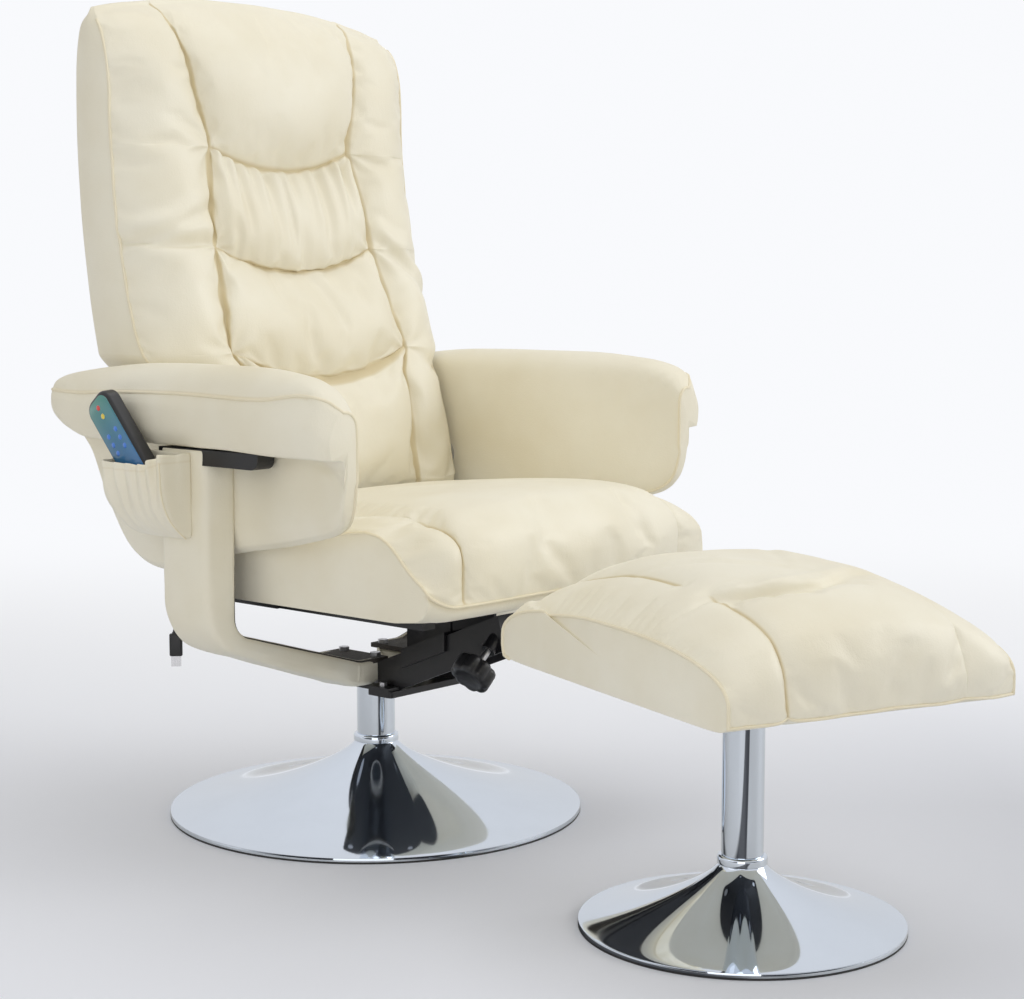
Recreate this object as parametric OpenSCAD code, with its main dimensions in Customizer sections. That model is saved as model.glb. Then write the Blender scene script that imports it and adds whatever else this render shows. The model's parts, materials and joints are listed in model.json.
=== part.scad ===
// Swivel massage recliner with a matching footstool.
// The chair turns on its column at the origin, the floor is z = 0, and the sitter faces -Y.
// The arm with the handset pocket is on -X.

/* [Round bases] */
// Radius of the chair's chrome base
base_r = 270; // [240:5:320]
// Height of the chair base's outer edge
base_edge_h = 7; // [6:0.5:12]
// Height of the chair base's neck
base_neck_h = 91; // [75:2:120]
// Radius of the stool's chrome base
stool_base_r = 178; // [150:2:220]
// Height of the stool base's neck
stool_neck_h = 70; // [60:2:100]
// Wall of the chrome pressings
shell_t = 1.5; // [1:0.1:2.5]
// Height of the rubber rim that touches the floor
rim_h = 2.5; // [1.5:0.5:4]
// Thickness of the ballast discs
ballast_t = 6; // [4:0.5:7]

/* [Columns and swivel] */
// Outer diameter of the chair column
column_d = 50; // [44:1:60]
// Outer diameter of the stool column
stool_column_d = 46; // [40:1:56]
// Wall of both columns
column_wall = 4; // [3:0.5:6]
// Height of the chair column's top end
column_top = 167; // [155:1:190]
// Height of the collars that cover the necks
collar_h = 10; // [6:1:16]
// Wall of the collars
collar_wall = 4.5; // [3:0.5:7]
// Diameter of the swivel spindle
spindle_d = 30; // [24:1:34]
// Running gap of turning and sliding faces
running_gap = 0.3; // [0.2:0.05:0.5]
// Radial gap of pins in their bores
pin_gap = 0.05; // [0.03:0.01:0.1]

/* [Under frame] */
// Thickness of the swivel plate
plate_t = 8; // [6:1:12]
// Width of the swivel plate
plate_w = 90; // [84:2:110]
// Width of the arm supports, front to back
support_w = 86; // [80:2:110]
// Thickness of the upholstered support at its foot
support_foot_t = 35; // [30:1:45]
// Thickness of the support's steel core
core_t = 6; // [4:0.5:8]
// Rise of the support's run, per unit of length
support_slope = 0.30; // [0.25:0.01:0.34]
// Height of the supports' top ends
support_top = 480; // [465:1:490]
// Width of the slide beam
beam_w = 100; // [90:2:120]
// Wall of the slide beam
beam_t = 3; // [2:0.5:4]
// Rise of the beam and of the seat's travel, in degrees
rail_angle = 22; // [18:1:26]
// Diameter of the friction knob
knob_d = 53; // [45:1:60]
// Thickness of the friction knob
knob_t = 24; // [18:1:30]

/* [Seat] */
// Height of the seat cushion's underside
seat_bottom = 309; // [304:1:318]
// Height of the seat's top at its middle
seat_top = 450; // [435:1:470]
// Front edge of the seat, ahead of the swivel axis
seat_front = 346; // [320:2:370]
// Rear edge of the seat, behind the swivel axis
seat_rear = 50; // [40:1:55]
// Thickness of the seat and stool boards
board_t = 12; // [9:1:18]

/* [Back] */
// Height of the back's top edge
back_top = 1056; // [1000:2:1110]
// Width of the back above the arms
back_w = 520; // [480:2:540]
// Height of the recline pivot
pivot_z = 446; // [438:1:456]
// Distance of the recline pivot behind the swivel axis
pivot_y = 115; // [105:1:125]
// Distance from the recline pivot down to the seat hinge
swing_r = 130; // [124:1:136]
// Diameter of the recline pivot pins
pivot_d = 12; // [10:1:16]
// Thickness of the back's curved plywood panel
panel_t = 12; // [9:1:15]

/* [Arms] */
// Clear width between the arms
arm_gap = 500; // [470:2:540]
// Width of one arm
arm_w = 100; // [90:1:112]
// Height of the arms' crown
arm_top = 598; // [585:1:615]
// Height of the arm pad's overhanging lip
arm_lip = 499; // [492:1:506]
// Front end of the arms, ahead of the swivel axis
arm_front = 272; // [255:1:290]
// Rear end of the arms, behind the swivel axis
arm_rear = 262; // [240:1:270]

/* [Handset and pocket] */
// Length of the handset
handset_l = 145; // [125:1:160]
// Width of the handset
handset_w = 50; // [44:1:54]
// Thickness of the handset
handset_t = 20; // [16:1:22]
// Diameter of the handset buttons
button_d = 7; // [5:0.5:8]
// Travel of the handset buttons
button_travel = 0.8; // [0.5:0.1:1]
// Lean of the handset in its pocket, in degrees
handset_lean = 37; // [30:1:40]
// Length of the pocket, front to back
pocket_l = 120; // [116:1:140]
// Depth of the pocket away from the support
pocket_d = 47; // [44:1:55]
// Wall of the padded pocket
pocket_wall = 3; // [2:0.5:4]

/* [Footstool] */
// Length of the stool cushion's underside
stool_l = 453; // [420:5:500]
// Width of the stool cushion's underside
stool_w = 336; // [300:4:380]
// Height of the stool cushion's underside
stool_bottom = 276; // [260:2:300]
// Height of the stool cushion's crown
stool_top = 404; // [385:1:425]
// Place of the stool's column
stool_at = [-91, -652];
// Turn of the stool about its column, in degrees
stool_turn = -20.5; // [-30:0.5:30]

/* [Power lead] */
// Diameter of the hanging lead
lead_d = 5; // [4:0.5:7]
// Length of the plug's body
plug_l = 36; // [30:1:45]
// Diameter of the plug's body
plug_d = 16; // [12:1:20]

/* [Hidden] */
$fn = 48;

// Shared values of the pieces that stand on one another
cut = 1;
fit_gap = 0.5;
ballast_margin = 40;
column_r = column_d / 2;
stool_column_r = stool_column_d / 2;
ballast_top = rim_h + ballast_t;
neck_gap = 1.5;
flange_t = 5;
flange_w = 20;
screw_r = 4;
screw_head_r = 7;
screw_head_h = 3.5;
bush_l = 30;
bush_flange_t = 2;
spindle_r = spindle_d / 2;
bush_bore_r = spindle_r + pin_gap;
lower_bush_z = ballast_top + flange_t + screw_head_h;
plate_z = column_top + bush_flange_t + running_gap;
plate_top = plate_z + plate_t;
flare_steps = 20;
flare_power = 0.75;

// Under frame
foot_gap = 54;
foot_in = foot_gap / 2;
foot_l = 50;
foot_out = foot_in + foot_l;
tab_reach = 70;
support_front = 50;
support_rear = support_w - support_front;
arm_pad_t = 34;
arm_lip_share = 0.17;
support_margin = 5;
support_out = arm_gap / 2 + arm_w * (1 - arm_lip_share) - support_margin;
pad_side_gap = 1;
support_in = arm_gap / 2 + arm_pad_t + pad_side_gap;
support_taper = 0.045;
bend_r = 25;
outer_bend_r = 75;
foot_bend_r = 40;
hub_edge_x = 9;
hub_edge_y = 14;
hub_bolt_x = plate_w / 2 - hub_edge_x;
hub_bolt_y = support_w / 2 - hub_edge_y;
support_mid_y = (support_rear - support_front) / 2;
bolt_r = 4;
bolt_head_r = 7;
bolt_head_h = 5;
beam_gap = 4;
beam_rear = support_front + beam_gap;
beam_foot_l = 39;
beam_foot = beam_rear + beam_foot_l;
beam_reach = 206;
beam_front = beam_rear + beam_reach;
beam_nose = 12;
beam_rear_h = 31;
tab_t = 4;
plate_margin = 4;
plate_front = beam_foot + plate_margin;
plate_rear = support_rear;
plate_corner_r = 12;
tab_corner_r = 5;
tab_bolt_x = (beam_w / 2 + tab_reach) / 2;
tab_bolt_y = -(beam_rear + beam_foot) / 2;
small_bolt_r = 3;
small_head_r = 5.5;
knob_dip = 41;
knob_back = 7;
knob_rise = 80;
knob_at = [-beam_w / 2, knob_back - beam_front, plate_top + knob_rise];
boss_r = 9;
boss_l = 13;
boss_root = 8;
rod_r = 4;
rod_l = 36;
knob_lobes = 8;
lobe_r = 6;
pad_gap = 0.3;
bracket_h = arm_lip - support_top - pad_gap;
bracket_w = 26;
bracket_edge = 2;
bracket_front = 140;
bracket_corner_r = 12;
bracket_x = support_out - bracket_edge - bracket_w / 2;
bracket_edge_y = 20;
bracket_bolt_y = support_w / 2 - bracket_edge_y;
bracket_bolt_l = 26;

// Widths that follow the space between the arms
seat_side_gap = 2;
seat_w = arm_gap - 2 * seat_side_gap;
back_side_gap = 25;
back_low_w = arm_gap - 2 * back_side_gap;
arm_span = arm_gap + 2 * arm_w;

// Seat
slider_t = 4;
slider_start = 46;
slider_l = 75;
slider_cheek = 20;
gusset_edge = 9;
gusset_x = beam_w / 2 - gusset_edge;
rail_h = 9;
rail_w = 20;
rail_front = 300;
rail_rear = 20;
rail_z = seat_bottom - rail_h;
bar_w = 30;
rear_bar_at = 30;
lug_t = 5;
hinge_pin_r = 5;
open_pivot_gap = 3;
seat_hinge_drop = 7;
lug_r = 15;
lug_front = 60;
board_gap = 0.3;
board_margin = 14;
motor_r = 30;
motor_h = 22;
box_size = [110, 70, 20];
seat_bow = 22;
seat_bow_power = 4;
seat_drop = 36;
seat_tilt = 34;
seat_seam_share = 0.685;
seat_seam_depth = 7;
seat_waist_share = 0.42;
seat_rear_power = 9;
seat_front_power = 3.4;
seat_low_power = 12;
seat_steps = 7;

// Back
pivot_plate_t = 6;
plate_side_gap = 2.5;
pivot_plate_in = back_low_w / 2 + plate_side_gap;
pivot_plate_out = pivot_plate_in + pivot_plate_t;
seat_lug_in = pivot_plate_in - lug_t - fit_gap;
rail_x = seat_lug_in - rail_w;
pivot_r = pivot_d / 2;
hinge_y = pivot_y - swing_r * sin(seat_hinge_drop);
hinge_z = pivot_z - swing_r * cos(seat_hinge_drop);
lug_shift = 2.2;
lug_y = hinge_y - lug_shift * sin(rail_angle);
lug_z = hinge_z - lug_shift * cos(rail_angle);
pivot_flange_r = 24;
pivot_flange_t = 3;
spacer_r = 11;
pin_end_gap = 1;
back_bottom = 421;
back_h = back_top - back_bottom;
back_foot_y = 40;
back_run = 195;
tube_r = 10;
spacer_y = 150;
spacer_share = 0.14;
tube_y = 152;
tube_z = 395;
panel_gap = 0.3;
panel_w = 400;
panel_inset = 16;
panel_top_share = 0.9;
panel_rows = 9;
panel_tail = 30;
back_motor_r = 28;
back_motor_h = 20;
back_motor_x = 85;
back_motor_rows = [3, 5];
back_crown = 26;
back_crown_power = 8;
back_seam_depth = 12;
back_low_shares = [[0, 0], [0.21, 0.1], [0.31, 0.23], [0.43, 0.37], [0.58, 0.51], [0.71, 0.61],
    [0.87, 0.68], [0.94, 0.78], [0.98, 0.88], [1, 0.98]];
back_welt_shares = [[0, 0.2], [0.21, 0.38], [0.27, 0.51], [0.33, 0.61], [0.43, 0.71], [0.58, 0.79],
    [0.72, 0.826], [0.86, 0.84], [0.94, 0.9], [0.98, 0.97], [1, 1.02]];
back_rear_shares = [[0, 0.8], [0.06, 0.85], [0.26, 1.02], [0.41, 1.12], [0.59, 1.19], [0.73, 1.21],
    [0.85, 1.2], [0.94, 1.16], [0.98, 1.12], [1, 1.07]];
back_flare_shares = [[0, 0], [0.235, 0], [0.265, 0.5], [0.285, 0.85], [0.31, 1], [1, 1]];
back_taper_shares = [[0, 1], [0.86, 1], [0.94, 0.985], [0.98, 0.95], [1, 0.9]];
back_seam_shares = [[0, 0.61], [0.28, 0.585], [0.5, 0.52], [0.7, 0.46], [0.94, 0.59], [1, 0.6]];
back_row_shares = [0, 0.285, 0.495, 0.7, 1];
back_sag_shares = [0, 0.057, 0.047, 0.044, 0];
back_row_steps = [6, 6, 6, 9];
bolster_steps = 6;
centre_steps = 10;
rear_steps = 8;

// Arms
arm_h = arm_top - arm_lip;
arm_drop = 162;
arm_l = arm_front + arm_rear;
arm_crown_shares = [[0, 0.42], [0.01, 0.52], [0.03, 0.7], [0.06, 0.84], [0.12, 0.92], [0.4, 1], [0.77, 0.99],
    [0.91, 0.9], [0.97, 0.78], [1, 0.66]];
arm_drop_shares = [[0, 0.1], [0.01, 0.29], [0.03, 0.43], [0.05, 0.49], [0.13, 0.59], [0.27, 0.7],
    [0.42, 0.79], [0.58, 0.89], [0.64, 0.99], [0.69, 1], [0.74, 0.98], [0.785, 0.91], [0.82, 0.77], [0.85, 0.6], [0.88, 0.42], [0.91, 0.16],
    [0.95, 0], [1, -0.25]];
arm_rise_shares = [[0, 0], [0.83, 0], [0.9, 0.1], [0.95, 0.22], [1, 0.42]];
arm_side_shares = [[0, 0.5], [0.06, 0.42], [0.15, 0.3], [0.25, 0.17], [0.38, 0], [0.62, 0], [1, 0.1]];
arm_in_shares = [[0, 0.47], [0.02, 0.43], [0.06, 0.36], [0.15, 0.22], [0.3, 0.07], [0.45, 0], [0.75, 0], [0.85, 0.13],
    [0.93, 0.28], [1, 0.47]];
arm_out_shares = [[0, 0.12], [0.01, 0.05], [0.03, 0], [0.15, 0], [0.5, arm_lip_share], [0.88, 0.18], [0.97, 0.25], [1, 0.38]];
arm_steps = 22;

// Handset, in its own frame: Z along its length, X out of its back
handset_out = 24;
handset_at = [-support_out - handset_out, 53.2, 488];
handset_tilt = 6;
handset_down = 59;
handset_wall = 2;
handset_r = 16;
face_t = 2.5;
face_inset = 3;
button_gap = 0.3;
button_proud = 1.2;
button_rows = [106, 94, 82, 70];
button_x = 9;
heat_z = 118;
power_z = 130;
circuit_t = 1.6;
circuit_gap = 1;
case_back_t = 3;
pocket_front = 27;
pocket_rear = pocket_l - pocket_front;
pocket_top = 494;
pocket_h = 102;
pocket_slope_share = 0.75;
pocket_r = 14;

// Power lead, from the arm's underside down to its plug
gland_r = 5;
gland_l = 12;
lead_y = 76;
lead_share = (arm_front + lead_y + gland_r) / arm_l;
lead_top = [-(arm_gap + arm_pad_t) / 2, lead_y, arm_lip - arm_drop * lookup(lead_share, arm_drop_shares) - gland_l];
lead_route = [[0, 0, 0], [0, 0, -7], [0, 1, -15], [-1, 2, -23], [-2, 3, -31], [-3, 3, -39],
    [-3, 3, -47], [-3, 3, -53], [-3, 3, -59]];
lead_sides = 8;
plug_relief_l = 8;
plug_depth = 9;
plug_turn = -45;
tip_w = 12;
tip_depth = 4.6;
tip_l = 13;
tip_wall = 0.5;

// Footstool, in its own frame: Y along its longer side
stool_plate_t = 5;
stool_plate_w = 150;
stool_column_top = stool_bottom - stool_plate_t;
stool_bolt_at = 55;
stool_bulge = 6;
stool_side_h = 70;
stool_seam_share = 0.5;
stool_seam_depth = 6;
stool_waist_share = 0.35;
stool_roll_power = 2.35;
stool_low_power = 12;
stool_steps = 7;
stool_crown_power = 2.2;

// Helpers

// Point of a superellipse at an angle
function squircle(a, power) =
    [sign(cos(a)) * pow(abs(cos(a)), 2 / power), sign(sin(a)) * pow(abs(sin(a)), 2 / power)];

function unit(v) = v / norm(v);

function turned_back(list) = [for (i = [len(list) - 1:-1:0]) list[i]];

// Angle brought between -180 and 180
function small_angle(a) = a > 180 ? a - 360 : a < -180 ? a + 360 : a;

// Outline with rounded corners, from rows of [x, y, radius]
arc_steps = 8;
function corner_arc(p, u, v, r) =
    let (
        half = acos(u * v) / 2,
        centre = p + unit(u + v) * r / sin(half),
        first = p + u * r / tan(half) - centre,
        last = p + v * r / tan(half) - centre,
        start = atan2(first[1], first[0]),
        sweep = small_angle(atan2(last[1], last[0]) - start)
    )
    [for (k = [0:arc_steps]) centre + r * [cos(start + sweep * k / arc_steps), sin(start + sweep * k / arc_steps)]];
function rounded(rows) =
    let (n = len(rows))
    [for (i = [0:n - 1])
        let (
            p = [rows[i][0], rows[i][1]],
            a = [rows[(i + n - 1) % n][0], rows[(i + n - 1) % n][1]],
            b = [rows[(i + 1) % n][0], rows[(i + 1) % n][1]]
        )
        each rows[i][2] > 0 ? corner_arc(p, unit(a - p), unit(b - p), rows[i][2]) : [p]];

// Rectangle with rounded corners, centred
function rounded_box(w, l, r) =
    rounded([[w / 2, -l / 2, r], [w / 2, l / 2, r], [-w / 2, l / 2, r], [-w / 2, -l / 2, r]]);

// Plates cut from an outline in the YZ or the XZ plane
module yz_plate(outline, x0, x1) {
    translate([x0, 0, 0]) rotate([90, 0, 90]) linear_extrude(x1 - x0) polygon(outline);
}

module xz_plate(outline, y0, y1) {
    translate([0, y1, 0]) rotate([90, 0, 0]) linear_extrude(y1 - y0) polygon(outline);
}

module tube(r, bore_r, h) {
    difference() {
        cylinder(r = r, h = h);
        translate([0, 0, -cut]) cylinder(r = bore_r, h = h + 2 * cut);
    }
}

module bolt(r, l, head_r, head_h) {
    cylinder(r = r, h = l);
    translate([0, 0, l]) cylinder(r = head_r, h = head_h, $fn = 6);
}

function middle(ring) = [for (k = [0:2]) [for (p = ring) p[k]] * [for (p = ring) 1 / len(ring)]];

// Closed skin of triangles through rings of points
module skin(rings) {
    n = len(rings[0]);
    m = len(rings);
    first = n * m;
    points = concat([for (ring = rings) each ring], [middle(rings[0]), middle(rings[m - 1])]);
    sides = [for (i = [0:m - 2]) for (j = [0:n - 1])
        let (a = i * n + j, b = i * n + (j + 1) % n)
        each [[a, b, b + n], [a, b + n, a + n]]];
    ends = [for (j = [0:n - 1])
        let (k = (j + 1) % n)
        each [[first, k, j], [first + 1, (m - 1) * n + j, (m - 1) * n + k]]];
    polyhedron(points, concat(sides, ends));
}

// Stations across one sewn panel: places close up at its seams, and the lift is 0 there and 1 between
function panel_stations(a, b, steps) =
    [for (k = [0:steps - 1]) [a + (b - a) * (1 - cos(180 * k / steps)) / 2, sin(180 * k / steps)]];

module at_all(places) {
    for (p = places) translate(p) children();
}

// Bases

// Outer curve of a trumpet base, from its edge up to its neck
function flare(r, edge_h, neck_r, neck_h) =
    [for (i = [0:flare_steps])
        let (q = squircle(90 * i / flare_steps, flare_power))
        [neck_r + (r - neck_r) * q[0], edge_h + (neck_h - edge_h) * q[1]]];

module trumpet(r, edge_h, bore_r, neck_h) {
    outer = flare(r, edge_h, bore_r + shell_t, neck_h);
    inner = [for (p = outer) p - [shell_t, shell_t]];
    color("gainsboro")
    rotate_extrude()
    polygon(concat([[r, rim_h]], outer, [[bore_r, neck_h]], turned_back(inner), [[r - shell_t, rim_h]]));
}

module rim_ring(r, tube_outer_r) {
    color("dimgray")
    difference() {
        cylinder(r = r, h = rim_h);
        at_all(screw_places(tube_outer_r)) translate([0, 0, -rim_h - cut]) cylinder(r = screw_head_r + fit_gap, h = rim_h + 2 * cut);
    }
}

function screw_places(r) =
    [for (a = [45:90:315]) [(r + flange_w / 2) * cos(a), (r + flange_w / 2) * sin(a), rim_h]];

module screw_bores(r) {
    at_all(screw_places(r)) {
        translate([0, 0, -cut]) cylinder(r = screw_head_r, h = screw_head_h + cut);
        cylinder(r = screw_r, h = ballast_t + flange_t + cut);
    }
}

module ballast_disc(r, tube_outer_r) {
    color("dimgray")
    difference() {
        translate([0, 0, rim_h]) cylinder(r = r - ballast_margin, h = ballast_t);
        screw_bores(tube_outer_r);
    }
}

module flanged_column(r, top) {
    color("silver")
    difference() {
        union() {
            translate([0, 0, ballast_top]) cylinder(r = r + flange_w, h = flange_t);
            translate([0, 0, ballast_top]) cylinder(r = r, h = top - ballast_top);
        }
        translate([0, 0, ballast_top - cut]) cylinder(r = r - column_wall, h = top - ballast_top + 2 * cut);
        screw_bores(r);
    }
}

module collar(r, neck_h) {
    bevel = collar_wall / 3;
    color("silver")
    rotate_extrude()
    polygon([[r, neck_h], [r + collar_wall, neck_h], [r + collar_wall, neck_h + collar_h - bevel],
        [r + collar_wall - bevel, neck_h + collar_h], [r, neck_h + collar_h]]);
}

module column_screws(r) {
    color("dimgray")
    at_all(screw_places(r)) {
        cylinder(r = screw_head_r, h = screw_head_h);
        cylinder(r = screw_r, h = ballast_t + flange_t);
    }
}

module chair_base_shell() { trumpet(base_r, base_edge_h, column_r + neck_gap, base_neck_h); }
module chair_base_rim() { rim_ring(base_r, column_r); }
module chair_ballast_plate() { ballast_disc(base_r, column_r); }
module chair_column() { flanged_column(column_r, column_top); }
module chair_collar() { collar(column_r, base_neck_h); }
module base_screws() { column_screws(column_r); }

module swivel_bushes() {
    color("ivory") {
        translate([0, 0, lower_bush_z]) tube(column_r - column_wall, bush_bore_r, bush_l);
        difference() {
            union() {
                translate([0, 0, column_top - bush_l]) cylinder(r = column_r - column_wall, h = bush_l);
                translate([0, 0, column_top]) cylinder(r = column_r, h = bush_flange_t);
            }
            translate([0, 0, column_top - bush_l - cut]) cylinder(r = bush_bore_r, h = bush_l + bush_flange_t + 2 * cut);
        }
    }
}

// Under frame

module swivel_spindle() {
    color("silver") translate([0, 0, lower_bush_z]) cylinder(r = spindle_r, h = plate_top - lower_bush_z);
}

hub_places = [for (x = [-hub_bolt_x, hub_bolt_x]) for (y = [-hub_bolt_y, hub_bolt_y]) [x, y + support_mid_y, 0]];
tab_places = [for (x = [-tab_bolt_x, tab_bolt_x]) [x, tab_bolt_y, 0]];

module swivel_plate() {
    color("dimgray")
    difference() {
        translate([0, 0, plate_z]) linear_extrude(plate_t) polygon(rounded([
            [-tab_reach, -plate_front, tab_corner_r], [tab_reach, -plate_front, tab_corner_r],
            [tab_reach, -beam_rear, tab_corner_r], [plate_w / 2, -beam_rear, 0],
            [plate_w / 2, plate_rear, plate_corner_r], [-plate_w / 2, plate_rear, plate_corner_r],
            [-plate_w / 2, -beam_rear, 0], [-tab_reach, -beam_rear, tab_corner_r]]));
        cylinder(r = spindle_r, h = plate_top + cut);
        at_all(hub_places) cylinder(r = bolt_r, h = plate_top + cut);
        at_all(tab_places) cylinder(r = small_bolt_r, h = plate_top + cut);
    }
}

// Height of the beam's top face at a place along Y
function beam_top(y) = plate_top + beam_rear_h + (-y - beam_rear) * tan(rail_angle);

module beam_outline_cut() {
    yz_plate([[-beam_rear, plate_top - cut], [-beam_front + beam_t - beam_nose, plate_top - cut],
        [-beam_front + beam_t, beam_top(-beam_front) - beam_t], [-beam_rear, beam_top(-beam_rear) - beam_t]],
        -beam_w / 2 + beam_t, beam_w / 2 - beam_t);
}

module along_knob() {
    translate(knob_at) rotate([0, -90 - knob_dip, 0]) children();
}

module slide_beam() {
    nose_z = plate_top + (beam_front + beam_nose - beam_foot) * tan(rail_angle);
    color("dimgray")
    difference() {
        union() {
            difference() {
                yz_plate([[-beam_rear, plate_top], [-beam_foot, plate_top], [-beam_front - beam_nose, nose_z],
                    [-beam_front, beam_top(-beam_front)], [-beam_rear, beam_top(-beam_rear)]], -beam_w / 2, beam_w / 2);
                beam_outline_cut();
            }
            for (x = [-tab_reach, beam_w / 2 - beam_t])
                translate([x, -beam_foot, plate_top]) cube([tab_reach - beam_w / 2 + beam_t, beam_foot_l, tab_t]);
            along_knob() translate([0, 0, -boss_root]) cylinder(r = boss_r, h = boss_l + boss_root);
        }
        along_knob() translate([0, 0, -boss_root - cut]) cylinder(r = rod_r + pin_gap, h = boss_l + boss_root + 2 * cut);
        at_all(tab_places) cylinder(r = small_bolt_r, h = plate_top + tab_t + cut);
    }
}

module beam_bolts() {
    color("silver")
    at_all(tab_places) translate([0, 0, plate_z]) bolt(small_bolt_r, plate_t + tab_t, small_head_r, bolt_head_h);
}

module hub_bolts() {
    color("silver")
    at_all(hub_places) translate([0, 0, plate_z]) bolt(bolt_r, plate_t + support_foot_t, bolt_head_r, bolt_head_h);
}

// One line along the bent support, set in from its inner face
function support_line(inset) =
    let (z = plate_top + support_foot_t - inset, x = support_in + inset)
    [[foot_in, z, 0], [foot_out, z, foot_bend_r], [x, z + (x - foot_out) * support_slope, bend_r + inset],
        [x, support_top, 0]];
support_outer_line = [[foot_in, plate_top, 0], [foot_out, plate_top, foot_bend_r],
    [support_out, plate_top + (support_out - foot_out) * (support_slope + support_taper), outer_bend_r],
    [support_out, support_top, 0]];

bracket_places = [for (y = [-bracket_bolt_y, bracket_bolt_y]) [bracket_x, y + support_mid_y, support_top]];

module support_bores() {
    at_all(hub_places) cylinder(r = bolt_r, h = plate_top + support_foot_t + cut);
    at_all(bracket_places) translate([0, 0, -bracket_bolt_l]) cylinder(r = bolt_r, h = bracket_bolt_l + bracket_h + cut);
}

module support_core() {
    color("dimgray")
    difference() {
        xz_plate(rounded(concat(support_line(0), turned_back(support_line(core_t)))), -support_front, support_rear);
        support_bores();
    }
}

module support_cover() {
    color("cornsilk")
    difference() {
        xz_plate(rounded(concat(support_line(core_t), turned_back(support_outer_line))), -support_front, support_rear);
        support_bores();
    }
}

module other_side() { mirror([1, 0, 0]) children(); }

module left_support_core() { support_core(); }
module left_support_cover() { support_cover(); }
module right_support_core() { other_side() support_core(); }
module right_support_cover() { other_side() support_cover(); }

module arm_bracket() {
    recess = bracket_h - bolt_head_h;
    color("dimgray")
    difference() {
        yz_plate(rounded([[-bracket_front, support_top, bracket_corner_r], [support_rear, support_top, 0],
            [support_rear, support_top + bracket_h, 0], [-bracket_front, support_top + bracket_h, 0]]), bracket_x - bracket_w / 2, bracket_x + bracket_w / 2);
        at_all(bracket_places) {
            cylinder(r = bolt_r, h = bracket_h + cut);
            translate([0, 0, recess]) cylinder(r = bolt_head_r, h = bolt_head_h + cut);
        }
    }
}

module left_arm_bracket() { arm_bracket(); }
module right_arm_bracket() { other_side() arm_bracket(); }

module bracket_bolt_set() {
    at_all(bracket_places) {
        translate([0, 0, -bracket_bolt_l]) cylinder(r = bolt_r, h = bracket_bolt_l + bracket_h);
        translate([0, 0, bracket_h - bolt_head_h]) cylinder(r = bolt_head_r, h = bolt_head_h);
    }
}

module bracket_bolts() {
    color("silver") {
        bracket_bolt_set();
        other_side() bracket_bolt_set();
    }
}

// Arms: cut across at stations from the front end to the rear end

function arm_ring(t) =
    let (
        inner = arm_gap / 2 + arm_w * lookup(t, arm_in_shares),
        outer = arm_span / 2 - arm_w * lookup(t, arm_out_shares),
        side = min(outer - arm_pad_t * 0.1, arm_gap / 2 + arm_pad_t + (arm_w - arm_pad_t) * lookup(t, arm_side_shares)),
        top = arm_lip + arm_h * lookup(t, arm_crown_shares),
        lip = arm_lip + arm_h * lookup(t, arm_rise_shares),
        low = min(arm_lip - arm_drop * lookup(t, arm_drop_shares), lip - arm_pad_t * 0.1),
        y = -arm_front + arm_l * t,
        h = top - lip,
        w = outer - inner,
        deep = lip - low
    )
    [for (p = [
        [inner + w * 0.04, low + deep * 0.05], [inner, low + deep * 0.2], [inner, low + deep * 0.6],
        [inner, lip], [inner, lip + h * 0.45], [inner + w * 0.05, lip + h * 0.8], [inner + w * 0.22, lip + h * 0.96],
        [inner + w * 0.5, top], [inner + w * 0.78, lip + h * 0.88], [inner + w * 0.95, lip + h * 0.68],
        [outer, lip + h * 0.5], [outer, lip + h * 0.15], [outer - w * 0.08, lip],
        [side, lip], [side, lip - deep * 0.15], [side, low + deep * 0.25],
        [side - w * 0.06, low + deep * 0.06], [(inner + side) / 2, low]
    ]) [p[0], y, p[1]]];

module arm() {
    color("cornsilk")
    skin([for (k = [0:arm_steps]) arm_ring((1 - cos(180 * k / arm_steps)) / 2)]);
}

module left_arm() { arm(); }
module right_arm() { other_side() arm(); }

module pivot_stud() {
    translate([0, pivot_y, pivot_z]) rotate([0, 90, 0]) {
        translate([0, 0, back_low_w / 2 + pin_end_gap]) cylinder(r = pivot_r, h = (arm_gap - back_low_w) / 2 - pin_end_gap);
        translate([0, 0, pivot_plate_out + running_gap])
            cylinder(r = spacer_r, h = arm_gap / 2 - pivot_plate_out - running_gap);
        translate([0, 0, arm_gap / 2 - pivot_flange_t]) cylinder(r = pivot_flange_r, h = pivot_flange_t);
    }
}

module back_pivot_pins() {
    color("silver") {
        pivot_stud();
        other_side() pivot_stud();
    }
}

// Pocket and handset

// Outline of the pocket in the YZ plane, set in by a wall
function pocket_outline(inset, rim) =
    let (low = pocket_top - pocket_h + inset, front = -pocket_front + inset, rear = pocket_rear - inset)
    rounded([[front, pocket_top + rim, 0], [front, low, pocket_r - inset],
        [front + (rear - front) * pocket_slope_share, low, pocket_r * 2 - inset],
        [rear, low + pocket_h * (1 - pocket_slope_share), pocket_r * 2 - inset], [rear, pocket_top + rim, 0]]);

module handset_pocket() {
    color("cornsilk")
    difference() {
        yz_plate(pocket_outline(0, 0), -support_out - pocket_d, -support_out);
        yz_plate(pocket_outline(pocket_wall, cut), -support_out - pocket_d + pocket_wall, -support_out - pocket_wall);
    }
}

module in_pocket() {
    translate(handset_at) rotate([-handset_lean, -handset_tilt, 0]) translate([0, 0, -handset_down]) children();
}

// Slab with the handset's outline: its face looks along -X
module handset_slab(inset, back, depth) {
    translate([back - depth, 0, handset_l / 2]) rotate([90, 0, 90])
        linear_extrude(depth) polygon(rounded_box(handset_w - 2 * inset, handset_l - 2 * inset, handset_r - inset));
}

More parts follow.
